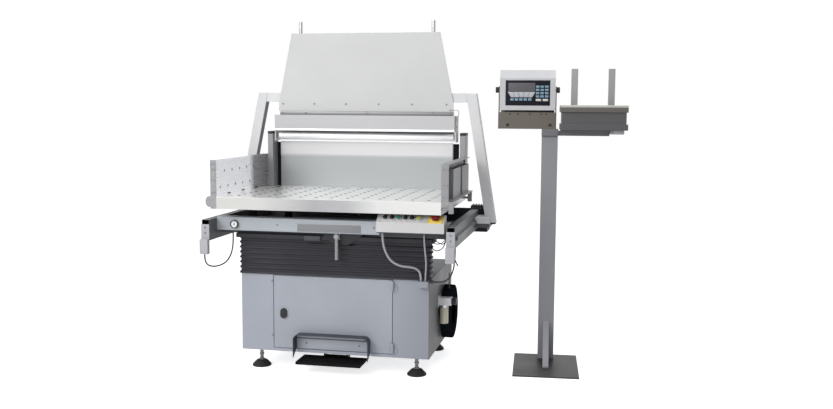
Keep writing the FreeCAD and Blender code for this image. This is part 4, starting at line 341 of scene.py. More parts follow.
TABLE_SHEET = ground_metal("table_sheet", (0.86, 0.86, 0.85), TABLE_STROKES, gloss=0.24, spread=0.12,
                           bump=0.04, metallic=0.75)
FENCE_SHEET = ground_metal("fence_sheet", (0.90, 0.90, 0.93), FENCE_STROKES, gloss=0.24, spread=0.06,
                           bump=0.02, metallic=0.15)
REAR_SHEET = ground_metal("rear_sheet", (0.60, 0.62, 0.62), REAR_STROKES, gloss=0.34, spread=0.06,
                          bump=0.02, metallic=0.55)
PAN_SHEET = ground_metal("pan_sheet", (0.13, 0.115, 0.10), PAN_STROKES, gloss=0.32, spread=0.14,
                         metallic=0.8)
SHEET_STEEL = toned(TABLE_SHEET, "X", TABLE_PAINTED_REFLECTION_STOPS, drift=0.93, top=TABLE_SURFACE)
FENCE_STEEL = toned(FENCE_SHEET, "Y", FENCE_PAINTED_REFLECTION_STOPS)
REAR_STEEL = toned(REAR_SHEET, "Z", REAR_STOPS)
PAN_STEEL = toned(PAN_SHEET, "Z", PAN_PAINTED_HIGHLIGHT_STOPS, drift=0.85)
HOOD_STEEL = ground_metal("hood_sheet", (0.335, 0.335, 0.34), HOOD_STROKES, gloss=0.34, bump=0.03,
                          metallic=0.6, drift=0.95)
ROLLER_STEEL = ground_metal("roller_tube", (0.86, 0.86, 0.87), EVEN_STROKES, gloss=0.40, bump=0.03,
                            metallic=0.35, drift=0.96)
STRIP_STEEL = ground_metal("strip_bar", (0.24, 0.24, 0.25), HOOD_STROKES, gloss=0.34, bump=0.03, metallic=0.6)
ALUMINIUM = ground_metal("satin_aluminium", (0.48, 0.48, 0.50), TUBE_STROKES, gloss=0.34, spread=0.12)
POST_STEEL = ground_metal("post_profile", (0.235, 0.235, 0.245), POST_STROKES, gloss=0.36, bump=0.03,
                          metallic=0.3, drift=0.94)
STUD_STEEL = ground_metal("stud_steel", (0.17, 0.165, 0.16), ROD_STROKES, gloss=0.30, metallic=0.5)
RING_STEEL = ground_metal("ring_steel", (0.62, 0.62, 0.64), EVEN_STROKES, gloss=0.30, metallic=0.3)
BRIGHT_STEEL = ground_metal("bright_steel", (0.42, 0.42, 0.43), ROD_STROKES, gloss=0.16)
BRACKET_STEEL = ground_metal("bracket_sheet", (0.106, 0.095, 0.083), PAN_STROKES, gloss=0.30, spread=0.14,
                             metallic=0.8)
SCREW_STEEL = ground_metal("screw_steel", (0.22, 0.22, 0.23), EVEN_STROKES, gloss=0.35, spread=0.15)

NODE_FINISHES = {
    "cabinet_shell": SHELL_PAINT, "cabinet_door": CABINET_PAINT, "foot_pads": FOOT_RUBBER,
    "foot_studs": STUD_STEEL, "door_latch": BLACK_PLASTIC, "foot_guard": GUARD_COATING,
    "pedal_bracket": DARK_PAINT, "pedal_plate": BLACK_RUBBER, "blower_housing": BLOWER_BLACK,
    "blower_impeller": BLOWER_BLACK, "filter_body": ALUMINIUM, "filter_bowl": BOWL_AMBER,
    "regulator_knob": BLACK_PLASTIC, "pivot_trestle": DARK_PAINT, "tilt_cylinder": ALUMINIUM,
    "tilt_rod": BRIGHT_STEEL, "front_beam": BEAM_PAINT, "left_side_beam": RAIL_PAINT,
    "right_side_beam": RAIL_PAINT, "deck_plate": DARK_PAINT, "gauge_case": BLACK_PLASTIC,
    "gauge_needle": BLACK_PLASTIC, "control_box": BOX_PAINT, "selector_1": BLACK_PLASTIC,
    "selector_2": BLACK_PLASTIC, "selector_3": BLACK_PLASTIC, "selector_4": BLACK_PLASTIC,
    "green_button": GREEN_PLASTIC, "yellow_button": YELLOW_PLASTIC, "estop_button": RED_PLASTIC,
    "knee_lever": POST_STEEL, "sensor_brackets": SENSOR_PAINT, "travel_motor": MOTOR_PAINT,
    "rubber_mounts": BLACK_RUBBER, "table_top": SHEET_STEEL, "left_fence": FENCE_STEEL,
    "right_fence": POST_STEEL, "rear_plate": REAR_STEEL, "corner_posts": POST_STEEL,
    "vibrator_motor": DARK_PAINT, "vibrator_rotor": BRIGHT_STEEL, "crossbar": GANTRY_PAINT,
    "left_leg": LEFT_LEG_PAINT, "right_leg": LEG_PAINT, "roller_board": BOARD_PAINT,
    "lift_cylinder": ALUMINIUM, "roller_hood": HOOD_STEEL, "head_rods": BRIGHT_STEEL,
    "press_roller": ROLLER_STEEL, "stand_frame": STAND_PAINT, "scale_body": SCALE_PAINT,
    "scale_pan": PAN_STEEL, "indicator_bracket": BRACKET_STEEL, "indicator_case": WHITE_PLASTIC,
    "clamp_knobs": BLACK_PLASTIC,
}

# Widths of softened edges, in millimetres
SOFT_EDGES = {
    "cabinet_shell": 2.0, "cabinet_door": 2.0, "front_beam": 1.5, "control_box": 0.8, "left_leg": 2.5,
    "right_leg": 2.5, "crossbar": 2.5, "roller_board": 1.5, "corner_posts": 2.0, "table_top": 1.2,
    "stand_frame": 2.0, "scale_body": 4.0, "scale_pan": 2.0, "indicator_case": 6.0,
    "indicator_bracket": 1.5, "left_side_beam": 2.0, "right_side_beam": 2.0, "sensor_brackets": 1.5,
    "travel_motor": 1.5, "pedal_plate": 2.0, "left_fence": 0.8, "right_fence": 0.8, "rear_plate": 0.8,
    "filter_body": 1.5, "door_latch": 2.0, "regulator_knob": 2.0, "clamp_knobs": 2.0, "foot_pads": 2.0,
    "press_roller": 1.5, "selector_1": 1.2, "selector_2": 1.2, "selector_3": 1.2, "selector_4": 1.2,
    "green_button": 0.4, "yellow_button": 0.4, "estop_button": 0.7, "gauge_case": 1.5, "knee_lever": 1.5,
    "foot_studs": 1.0, "roller_hood": 1.0, "foot_guard": 0.8, "filter_bowl": 3.0, "blower_housing": 4.0,
    "lift_cylinder": 2.0,
}
WELD_DISTANCE = 0.00002
FLAT_ANGLE = 1.0
NODE_EDGE_ANGLE = 40
PIECE_EDGE_ANGLE = 35
EDGE_SEGMENTS = 2


def add_bevel(item, width, segments, angle):
    bevel = item.modifiers.new("bevel", "BEVEL")
    bevel.width = width / PER_METRE
    bevel.segments = segments
    bevel.limit_method = "ANGLE"
    bevel.angle_limit = math.radians(angle)
    return bevel


def dress_nodes():
    """Finish every CAD node, and soften the edges of those seen close by."""
    for name, finish in NODE_FINISHES.items():
        item = nodes[name]
        item.data.materials.clear()
        item.data.materials.append(finish)
    for name, width in SOFT_EDGES.items():
        item = nodes[name]
        weld = item.modifiers.new("weld", "WELD")
        weld.merge_threshold = WELD_DISTANCE
        merge = item.modifiers.new("merge", "DECIMATE")
        merge.decimate_type = "DISSOLVE"
        merge.angle_limit = math.radians(FLAT_ANGLE)
        add_bevel(item, width, EDGE_SEGMENTS, NODE_EDGE_ANGLE).harden_normals = True


dress_nodes()


# Modelling tools

FACING_LIMIT = 0.9
SCREW_SIDES = 20
SCREW_EDGE_ANGLE = 50
SOCKET_RIM = 0.45
SOCKET_DEPTH = 0.55
SCREW_ROUNDING = 0.12
RING_WALL = 0.8

# Rounding of the edges of pieces, in millimetres
HAIR_EDGE = 0.4
FINE_EDGE = 0.6
SHEET_EDGE = 0.8
SMALL_EDGE = 1.0
BAR_EDGE = 1.2
SOFT_EDGE = 2.0
ROUND_EDGE = 3.0


def deselect():
    if bpy.context.object is not None and bpy.context.object.mode != "OBJECT":
        bpy.ops.object.mode_set(mode="OBJECT")
    bpy.ops.object.select_all(action="DESELECT")


def pick(item):
    """Make a piece the only selected one."""
    deselect()
    bpy.context.view_layer.objects.active = item
    item.select_set(True)


def settle(item, name):
    """Put a piece's place into its mesh and name it."""
    pick(item)
    bpy.ops.object.transform_apply(location=True, rotation=True, scale=True)
    item.name = name
    item.data.name = name
    return item


def block(name, low, high, bevel=0.0, segments=EDGE_SEGMENTS):
    """Box from its lowest to its highest corner, with softened edges."""
    deselect()
    low = Vector(low) / PER_METRE
    high = Vector(high) / PER_METRE
    bpy.ops.mesh.primitive_cube_add(size=1, location=(low + high) / 2)
    item = bpy.context.object
    item.scale = high - low
    settle(item, name)
    if bevel:
        soften(item, bevel, segments)
    return item


def disc(name, spot, direction, radius, depth, vertices, bevel=0.0):
    """Short round bar whose foot stands on a spot and points along a direction."""
    deselect()
    direction = Vector(direction).normalized()
    turn = direction.to_track_quat("Z", "Y").to_euler()
    middle = (Vector(spot) + direction * depth / 2) / PER_METRE
    bpy.ops.mesh.primitive_cylinder_add(vertices=vertices, radius=radius / PER_METRE,
                                        depth=depth / PER_METRE, location=middle, rotation=turn)
    item = settle(bpy.context.object, name)
    if bevel:
        soften(item, bevel)
    return item


def apply_modifiers(item):
    pick(item)
    for modifier in list(item.modifiers):
        bpy.ops.object.modifier_apply(modifier=modifier.name)


def soften(item, width, segments=EDGE_SEGMENTS, angle=PIECE_EDGE_ANGLE):
    add_bevel(item, width, segments, angle)
    apply_modifiers(item)
    bpy.ops.object.shade_smooth_by_angle(angle=math.radians(angle))
    return item


def pick_faces(item, direction):
    """Edit mode with only the faces selected that look along a direction."""
    pick(item)
    direction = Vector(direction).normalized()
    bpy.ops.object.mode_set(mode="EDIT")
    bpy.ops.mesh.select_mode(type="FACE")
    bpy.ops.mesh.select_all(action="DESELECT")
    bpy.ops.object.mode_set(mode="OBJECT")
    for face in item.data.polygons:
        face.select = face.normal.dot(direction) > FACING_LIMIT
    bpy.ops.object.mode_set(mode="EDIT")


def sink_middle(item, rim, depth):
    """Leave a rim round the upper face of a piece and press the rest down."""
    pick_faces(item, UP)
    bpy.ops.mesh.inset(thickness=rim / PER_METRE, depth=0)
    bpy.ops.mesh.extrude_region_move(TRANSFORM_OT_translate={"value": (0, 0, -depth / PER_METRE)})
    bpy.ops.object.mode_set(mode="OBJECT")


def narrow_foot(item, share, centre):
    """Draw the lower face of a piece together along x, towards a centre."""
    pick_faces(item, DOWN)
    bpy.ops.transform.resize(value=(share, 1, 1), center_override=Vector(centre) / PER_METRE)
    bpy.ops.object.mode_set(mode="OBJECT")
    return item


def thicken(item, thickness):
    """Give an open skin a wall that grows inwards."""
    wall = item.modifiers.new("wall", "SOLIDIFY")
    wall.thickness = thickness / PER_METRE
    wall.offset = -1
    apply_modifiers(item)


def hollow(item, direction, rim, open_foot):
    """Turn a disc into a thin ring with a rim round its open top."""
    pick_faces(item, direction)
    bpy.ops.mesh.inset(thickness=rim / PER_METRE, depth=0)
    bpy.ops.mesh.delete(type="FACE")
    if open_foot:
        pick_faces(item, -direction)
        bpy.ops.mesh.delete(type="FACE")
    bpy.ops.object.mode_set(mode="OBJECT")
    thicken(item, RING_WALL)
    return item


def copy_of(item, name):
    twin = item.copy()
    twin.data = item.data.copy()
    twin.name = name
    twin.data.name = name
    scene.collection.objects.link(twin)
    return twin


def join(items, name):
    deselect()
    for item in items:
        item.select_set(True)
    bpy.context.view_layer.objects.active = items[0]
    bpy.ops.object.join()
    whole = bpy.context.object
    whole.name = name
    whole.data.name = name
    return whole


def give(item, finish, body):
    item.data.materials.clear()
    item.data.materials.append(finish)
    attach(item, body)


def socket_screw(radius, height):
    """Cap screw with a sunk socket, standing on the origin."""
    head = disc("screw", (0, 0, 0), UP, radius, height, SCREW_SIDES)
    sink_middle(head, radius * SOCKET_RIM, height * SOCKET_DEPTH)
    return soften(head, radius * SCREW_ROUNDING, angle=SCREW_EDGE_ANGLE)


def screws(name, spots, direction, size, body, finish=SCREW_STEEL):
    """Row of screw heads on one surface."""
    master = socket_screw(*size)
    turn = Vector(direction).to_track_quat("Z", "Y").to_euler()
    heads = []
    for spot in spots:
        head = copy_of(master, "screw_copy")
        head.rotation_euler = turn
        head.location = Vector(spot) / PER_METRE
        heads.append(settle(head, "screw_copy"))
    bpy.data.objects.remove(master)
    give(join(heads, name), finish, body)


# Bellows

def bellows():
    """Pleated curtain between cabinet and tilting frame, pulled up fold by fold from its lower edge."""
    bottom, top = 0.490, 0.6917
    foot, collar_height = 0.006, 0.020
    half_x, half_y = 0.480, 0.030
    middle = -0.300
    ridge, valley, rim = 0.009, 0.003, 0.022
    crease = ridge - 0.001
    corner, corner_segments = 0.012, 3
    lip, cloth = 0.0002, 0.0025
    smooth_angle = 32
    pleats = 7
    fold = ((0.10, crease), (0.34, valley), (0.66, valley), (0.90, crease), (1.0, ridge))
    collar = top - collar_height
    pitch = (collar - bottom - foot) / pleats
    levels = [(bottom, ridge), (bottom + foot, ridge)]
    for pleat in range(pleats):
        low = bottom + foot + pleat * pitch
        levels += [(low + part * pitch, reach) for part, reach in fold]
    levels += [(collar, rim), (top - 2 * lip, rim), (top - lip, valley)]
    deselect()
    bpy.ops.mesh.primitive_plane_add(size=1, location=(0, middle, bottom))
    skirt = bpy.context.object
    skirt.scale = (2 * (half_x + ridge), 2 * (half_y + ridge), 1)
    settle(skirt, "bellows_skirt")
    bpy.ops.object.mode_set(mode="EDIT")
    bpy.ops.mesh.select_all(action="SELECT")
    bpy.ops.mesh.bevel(offset=corner, segments=corner_segments, affect="VERTICES")
    bpy.ops.mesh.select_all(action="SELECT")
    bpy.ops.mesh.delete(type="ONLY_FACE")
    bpy.ops.mesh.select_all(action="SELECT")
    last_height, last_reach = levels[0]
    for height, reach in levels[1:]:
        bpy.ops.mesh.extrude_region_move(TRANSFORM_OT_translate={"value": (0, 0, height - last_height)})
        grow = ((half_x + reach) / (half_x + last_reach), (half_y + reach) / (half_y + last_reach), 1)
        bpy.ops.transform.resize(value=grow, center_override=(0, middle, height))
        last_height, last_reach = height, reach
    bpy.ops.mesh.select_all(action="SELECT")
    bpy.ops.mesh.normals_make_consistent(inside=False)
    bpy.ops.object.mode_set(mode="OBJECT")
    thicken(skirt, cloth * PER_METRE)
    bpy.ops.object.shade_smooth_by_angle(angle=math.radians(smooth_angle))
    skirt.data.materials.append(BELLOWS_CLOTH)
    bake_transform(skirt)
    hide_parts("bellows")


# Cables

ROUTE_ORDER = 3
ROUTE_STEPS = 12
TUBE_STEPS = 4
TUBE_SMOOTH_ANGLE = 50
LONG_CONDUIT_RADIUS = 5.5
SHORT_CONDUIT_RADIUS = 4.0
SENSOR_CABLE_RADIUS = 3.5
STUB_RADIUS = 3.0
WIRE_RADIUS = 2.0
THICK_WIRE_RADIUS = 2.4
DECK_UNDERSIDE = 692.5


def route_line(name, points):
    curve = bpy.data.curves.new(name, "CURVE")
    curve.dimensions = "3D"
    spline = curve.splines.new("NURBS")
    spline.points.add(len(points) - 1)
    for spot, place in zip(spline.points, points):
        spot.co = tuple(channel / PER_METRE for channel in place) + (1.0,)
    spline.order_u = ROUTE_ORDER
    spline.use_endpoint_u = True
    spline.resolution_u = ROUTE_STEPS
    item = bpy.data.objects.new(name, curve)
    scene.collection.objects.link(item)
    return item


def tube_mesh(name, points, radius):
    """Round tube along a route."""
    line = route_line(name, points)
    line.data.bevel_depth = radius / PER_METRE
    line.data.bevel_resolution = TUBE_STEPS
    line.data.use_fill_caps = True
    pick(line)
    bpy.ops.object.convert(target="MESH")
    bpy.ops.object.shade_smooth_by_angle(angle=math.radians(TUBE_SMOOTH_ANGLE))
    return bpy.context.object


def cable(name, points, radius, finish, body=None):
    """Flexible tube along its route, fixed to a body if one is given; without a body its mesh is baked in
    place.
    """
    line = route_line(name, points)
    bpy.context.view_layer.update()
    path = [tuple(vertex.co) for vertex in bpy.data.meshes.new_from_object(line).vertices]
    bpy.data.objects.remove(line)
    tube = tube_mesh(name + "_tube", points, radius)
    tube.data.materials.append(finish)
    if body:
        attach(tube, body)
    else:
        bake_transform(tube)
    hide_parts(name)


def cables():
    long_route = [(268, -418, 734), (268, -418, 692), (278, -412, 640), (302, -402, 592), (348, -390, 564),
                  (398, -372, 560), (430, -354, 546), (441, -345, 517), (441, -345, 488)]
    short_route = [(468, -410, 734), (468, -410, 696), (470, -402, 650), (472, -386, 606), (470, -366, 564),
                   (463, -345, 524), (463, -345, 488)]
    left_route = [(-604, -490, 603), (-604, -490, 572), (-596, -474, 546), (-578, -448, 536),
                  (-558, -416, 537), (-540, -384, 548), (-530, -354, 572), (-526, -332, 606),
                  (-526, -320, 648), (-526, -320, 692)]
    right_route = [(604, -330, 668), (604, -330, 634), (602, -328, 592), (596, -322, 552), (584, -314, 516),
                   (562, -306, 490), (532, -300, 478), (496, -300, 478)]
    cable("long_conduit", long_route, LONG_CONDUIT_RADIUS, CONDUIT_PLASTIC)
    cable("short_conduit", short_route, SHORT_CONDUIT_RADIUS, CONDUIT_PLASTIC)
    cable("left_sensor_cable", left_route, SENSOR_CABLE_RADIUS, BLACK_PLASTIC, "upper_frame")
    cable("right_cable", right_route, SENSOR_CABLE_RADIUS, BLACK_PLASTIC)


def loose_wires():
    """Thin wires that hang under the deck at the right end of the bellows."""
    upper_route = [(486, -318, DECK_UNDERSIDE), (490, -318, 676), (506, -317, 666), (530, -316, 668),
                   (546, -315, 680), (552, -315, DECK_UNDERSIDE)]
    crossed_route = [(496, -308, DECK_UNDERSIDE), (502, -309, 682), (520, -310, 672), (540, -311, 664),
                     (552, -312, 676), (556, -312, DECK_UNDERSIDE)]
    lower_route = [(484, -312, DECK_UNDERSIDE), (484, -312, 664), (490, -312, 640), (512, -311, 631),
                   (536, -310, 642), (550, -309, 664), (556, -308, DECK_UNDERSIDE)]
    stub_route = [(622, -468, 624), (628, -469, 612), (636, -470, 598), (640, -470, 590)]
    wires = [tube_mesh("wire", upper_route, WIRE_RADIUS), tube_mesh("wire", crossed_route, WIRE_RADIUS),
             tube_mesh("wire", lower_route, THICK_WIRE_RADIUS)]
    give(join(wires, "loose_wires"), BLACK_PLASTIC, "upper_frame")
    stub = tube_mesh("sensor_stub", stub_route, STUB_RADIUS)
    give(stub, BLACK_PLASTIC, "upper_frame")


# Small parts

# Head radius and height of each kind of screw
PANEL_SCREW = (5, 3)
GUARD_SCREW = (6, 3.5)
BRACKET_SCREW = (5, 3.5)
STOP_SCREW = (2.6, 1.6)
FENCE_SCREW = (4, 2.5)
STRIP_BOLT = (6, 4)
HOOD_SCREW = (6, 3)
CLAMP_BOLT = (8, 4)
RIM_BOLT = (4, 3)

# Surfaces that pieces sit on
CABINET_FACE = -330
GUARD_FACE = -335.2
BEAM_FACE = -386
BRACKET_FACE = -479
FENCE_FACE = -455
BOARD_FACE = 217
STRIP_FACE = 212
HOOD_END = 519
TABLE_LEVEL = 880

HEXAGON = 6
ROD_SIDES = 16
COLLAR_SIDES = 24
RING_SIDES = 40
DIAL_SIDES = 48


def door_details():
    screws("panel_screws", [(-317, CABINET_FACE, z) for z in (455, 180)], FRONT, PANEL_SCREW, "base")
    guard_back = block("guard_back_plate", (-190, GUARD_FACE, 121), (182, -332.6, 172), SHEET_EDGE)
    give(guard_back, CABINET_PAINT, "door")
    screws("guard_screws", [(x, GUARD_FACE, 150) for x in (-140, 132)], FRONT, GUARD_SCREW, "door")
    treads, first, pitch, width = 8, -371, 17, 8
    strips = []
    for place in range(treads):
        y = first + place * pitch
        strips.append(block("tread", (-183, y, 61.4), (143, y + width, 64.4), BAR_EDGE))
    give(join(strips, "pedal_treads"), BLACK_RUBBER, "pedal")


def foot_details():
    foot_x, foot_y = 405, 255
    valve_x, valve_y = 515, 40
    collars = []
    for x in (-foot_x, foot_x):
        for y in (-foot_y, foot_y):
            collars.append(disc("collar", (x, y, 29.6), UP, 14, 9, HEXAGON, SMALL_EDGE))
            collars.append(disc("collar", (x, y, 58), UP, 12.5, 7, COLLAR_SIDES, SMALL_EDGE))
    give(join(collars, "foot_collars"), STUD_STEEL, "base")
    rod = disc("valve_rod", (valve_x, valve_y, 392), UP, 2.6, 74, ROD_SIDES, SMALL_EDGE)
    grip = disc("valve_grip", (valve_x, valve_y, 384), UP, 7, 10, HEXAGON, SMALL_EDGE)
    give(join([rod, grip], "valve_stem"), BLACK_PLASTIC, "base")


def gauge_details():
    gauge_x, gauge_z = -489, 742
    dial_face, mark_face = -395.0, -395.7
    marks, first_angle, angle_step = 11, -120, 24
    dial = disc("gauge_dial", (gauge_x, dial_face, gauge_z), FRONT, 16.6, 0.6, DIAL_SIDES)
    give(dial, DIAL_WHITE, "upper_frame")
    ticks = []
    for step in range(marks):
        tick = block("tick", (-0.4, -0.2, 12.0), (0.4, 0.2, 15.5))
        tick.rotation_euler = (0, math.radians(first_angle + angle_step * step), 0)
        tick.location = Vector((gauge_x, mark_face, gauge_z)) / PER_METRE
        ticks.append(settle(tick, "tick"))
    give(join(ticks, "gauge_marks"), BLACK_PLASTIC, "upper_frame")


def beam_details():
    plate = block("name_plate", (-166, -388.5, 716), (152, -385.8, 752), SMALL_EDGE)
    give(plate, PLATE_GREY, "upper_frame")
    lever_plate = block("lever_plate", (-57, -356.8, 652), (165, -353.6, 708.5))
    narrow_foot(lever_plate, 0.31, (43, -355.2, 652))
    give(soften(lever_plate, SHEET_EDGE), BLACK_PLASTIC, "upper_frame")
    lever_switch = block("lever_switch", (-141, -362, 668), (-58, -353.6, 692), SOFT_EDGE)
    give(lever_switch, DARK_PAINT, "upper_frame")
    screws("beam_screws", [(x, BEAM_FACE, 744) for x in (-268, 218)], FRONT, PANEL_SCREW, "upper_frame")
    gauge_details()
    spots = [(x, BRACKET_FACE, z) for x in (-605, 605) for z in (732, 706)]
    screws("bracket_screws", spots, FRONT, BRACKET_SCREW, "upper_frame")


PANEL_SLOPE = math.atan2(33, 42)
PANEL_MIDDLE = Vector((0, -429, 798.5))
PANEL_UP = Vector((0, -math.sin(PANEL_SLOPE), math.cos(PANEL_SLOPE)))
PANEL_RUN = Vector((0, math.cos(PANEL_SLOPE), math.sin(PANEL_SLOPE)))


def panel_spot(x, rise, along=0.0):
    """Spot on the sloping switch panel, along it and above it."""
    return PANEL_MIDDLE + Vector((x, 0, 0)) + PANEL_UP * rise + PANEL_RUN * along


def switch_details():
    switches, first, pitch = 6, 285, 32.4
    stop_x = 526
    sunk, plate_rise = -0.5, 1.6
    rings = []
    for place in range(switches):
        ring = disc("ring", panel_spot(first + pitch * place, sunk), PANEL_UP, 15.6, 7.5, RING_SIDES)
        rings.append(hollow(ring, PANEL_UP, 3.9, open_foot=True))
    give(join(rings, "switch_rings"), RING_STEEL, "upper_frame")
    plate = block("stop_plate", (489, -27, -0.6), (563, 25, plate_rise), FINE_EDGE)
    plate.rotation_euler = (PANEL_SLOPE, 0, 0)
    plate.location = PANEL_MIDDLE / PER_METRE
    give(settle(plate, "stop_plate"), STOP_PLATE, "upper_frame")
    spots = [panel_spot(x, plate_rise, along) for x in (493, 559) for along in (-22, 20)]
    screws("stop_screws", spots, PANEL_UP, STOP_SCREW, "upper_frame")
    collar = disc("stop_collar", panel_spot(stop_x, sunk), PANEL_UP, 22.5, 7.2, DIAL_SIDES)
    hollow(collar, PANEL_UP, 7.5, open_foot=False)
    give(collar, STOP_PLATE, "upper_frame")
    flange = block("box_foot", (246, -449, 729.5), (568, -388, 734.2), SHEET_EDGE)
    give(flange, DARK_PAINT, "upper_frame")
    # Dark sheet over the beam's lower flange under the control box: painted shadow where the box shades the
    # beam
    shade = block("box_painted_shadow", (244, -389, 703), (570, -386.2, 733), SHEET_EDGE)
    give(shade, DARK_PAINT, "upper_frame")


def air_nozzles():
    """Black rings round the air holes of the table: real air nozzles, whose darkness is also painted shade
    inside the holes.
    """
    columns, lines, pitch = 13, 8, 80
    middle_y = -71.5
    radius, height, rim, depth, sunk = 9, 1.2, 6, 0.9, 0.8
    nozzle = disc("nozzle", (0, 0, TABLE_LEVEL - sunk), UP, radius, height, ROD_SIDES)
    sink_middle(nozzle, rim, depth)
    nozzles = []
    for column in range(columns):
        for line in range(lines):
            twin = copy_of(nozzle, "nozzle_copy")
            x = (column - (columns - 1) / 2) * pitch
            y = middle_y + (line - (lines - 1) / 2) * pitch
            twin.location = Vector((x, y, 0)) / PER_METRE
            nozzles.append(settle(twin, "nozzle_copy"))
    bpy.data.objects.remove(nozzle)
    give(join(nozzles, "air_nozzles"), BLACK_RUBBER, "table")


def fence_details():
    left_spots = [(x, FENCE_FACE, z) for z in (1040, 1014, 962, 900) for x in (-578, -564)]
    screws("left_fence_screws", left_spots, FRONT, FENCE_SCREW, "table")
    right_spots = [(x, FENCE_FACE, z) for z in (1034, 960, 905) for x in (566, 582)]
    screws("right_fence_screws", right_spots, FRONT, FENCE_SCREW, "side_fence")
    lining = block("fence_lining", (-580, -450, 826), (-577.5, 254, 1052), FINE_EDGE)
    give(lining, RAIL_PAINT, "table")
    air_nozzles()
    caps = [block("cap", (low, 214, 1171.8), (high, 306, 1186), ROUND_EDGE)
            for low, high in ((-539, -507), (535, 567))]
    # Black strips between the rear plate and the corner posts: painted shade for the dark seen in these gaps
    strips = [block("strip", (low, 288.5, TABLE_LEVEL + 0.4), (high, 300, 1125), SOFT_EDGE)
              for low, high in ((-507, -489), (489, 520))]
    give(join(caps, "post_caps"), BLACK_PLASTIC, "table")
    give(join(strips, "corner_painted_shade_strips"), BLACK_RUBBER, "table")


GANTRY_SIDE = 14


def gantry_bar(name, half_length, low, high, bevel, segments=EDGE_SEGMENTS):
    """Bar across the gantry, from its front lower edge to its rear upper edge."""
    return block(name, (GANTRY_SIDE - half_length, *low), (GANTRY_SIDE + half_length, *high), bevel, segments)


def gantry_details():
    leg_x, half_foot = 704, 26
    lip_segments = 3
    spots = [(GANTRY_SIDE + x, BOARD_FACE, 1336) for x in (-462, -283, -104, 78, 262, 448)]
    screws("board_bolts", spots, FRONT, PANEL_SCREW, "gantry")
    strip = gantry_bar("clamp_strip", 478, (STRIP_FACE, 1277.0), (225.2, 1296), BAR_EDGE)
    give(strip, STRIP_STEEL, "press")
    spots = [(GANTRY_SIDE + x, STRIP_FACE, 1286.5) for x in (-465, -330, 15, 380, 465)]
    screws("strip_bolts", spots, FRONT, STRIP_BOLT, "press")
    # Strip along the hood's rolled lower edge: the edge is real, its bright colour is painted highlight
    lip = gantry_bar("hood_lip_painted_highlight", 497, (182.4, 1191), (185.4, 1203), BAR_EDGE, lip_segments)
    give(lip, ROLLER_STEEL, "press")
    # Black strip in the gap between hood and roller: painted shade
    gap_shade = gantry_bar("hood_gap_painted_shade", 496, (186.5, 1187.2), (190, 1193.2), SHEET_EDGE)
    give(gap_shade, BLACK_RUBBER, "press")
    feet = [block("leg_foot", (x - half_foot, 224, 704), (x + half_foot, 276, 712.2), SOFT_EDGE)
            for x in (-leg_x, leg_x)]
    give(join(feet, "leg_feet"), BLACK_PLASTIC, "gantry")
    screws("hood_end_screws", [(HOOD_END, 205, z) for z in (1258, 1218)], RIGHT, HOOD_SCREW, "press")
    tube_route = [(478, 214, 1306), (500, 210, 1307), (526, 206, 1306), (531, 204, 1300), (530, 204, 1270),
                  (HOOD_END, 204, 1262)]
    tube = tube_mesh("press_air_tube", tube_route, WIRE_RADIUS)
    give(tube, CONDUIT_PLASTIC, "press")


# Scale stand, in its own directions

STAND_PLACE = Vector((1020, 39, 0))
STAND_TURN = math.radians(4)
STAND_FRONT = Matrix.Rotation(STAND_TURN, 3, "Z") @ Vector(FRONT)
INDICATOR_FRONT = 90
BRACKET_FRONT = INDICATOR_FRONT + 5


def on_stand(item):
    """Bring a piece from the stand's own directions to its place."""
    item.rotation_euler = (0, 0, STAND_TURN)
    item.location = STAND_PLACE / PER_METRE
    return settle(item, item.name)


def stand_spot(x, y, z):
    """Place of a spot that is given in the stand's own directions."""
    return STAND_PLACE + Matrix.Rotation(STAND_TURN, 3, "Z") @ Vector((x, y, z))


def front_panel(name, left, low, right, high, rise, depth):
    """Flat piece on the indicator's front, its outer face rise above it."""
    face = INDICATOR_FRONT - rise
    return on_stand(block(name, (left, face, low), (right, face + depth, high), FINE_EDGE))


def key(left, low, width, height):
    return front_panel("key", left, low, left + width, low + height, 2.6, 2.4)


def indicator_details():
    panel = front_panel("indicator_panel", -229, 1333, -3, 1461, 1.2, 3.0)
    give(panel, PANEL_BLACK, "indicator")
    display = front_panel("indicator_display", -215, 1404, -79, 1448, 1.8, 2.0)
    give(display, DISPLAY_GREY, "indicator")
    outer, inner = INDICATOR_FRONT - 2.2, INDICATOR_FRONT - 0.2
    lefts = [-217 + place * 28.2 for place in range(5)]
    cells = [block("segment", (left, outer, 1375), (left + 26.6, inner, 1402)) for left in lefts]
    segments = narrow_foot(join(cells, "indicator_segments"), 0.78, (-147, INDICATOR_FRONT, 1375))
    give(on_stand(soften(segments, HAIR_EDGE)), SEGMENT_GREY, "indicator")
    keys = [key(-204 + place * 22.6, 1358, 17, 12) for place in range(5)]
    keys += [key(-75 + column * 23, 1374 + line * 16.5, 18, 11) for column in range(3) for line in range(4)]
    give(join(keys, "indicator_keys"), KEY_BLUE, "indicator")
    end_keys = [key(left, 1356, 27, 11) for left in (-75, -40)]
    give(join(end_keys, "indicator_end_keys"), KEY_WHITE, "indicator")


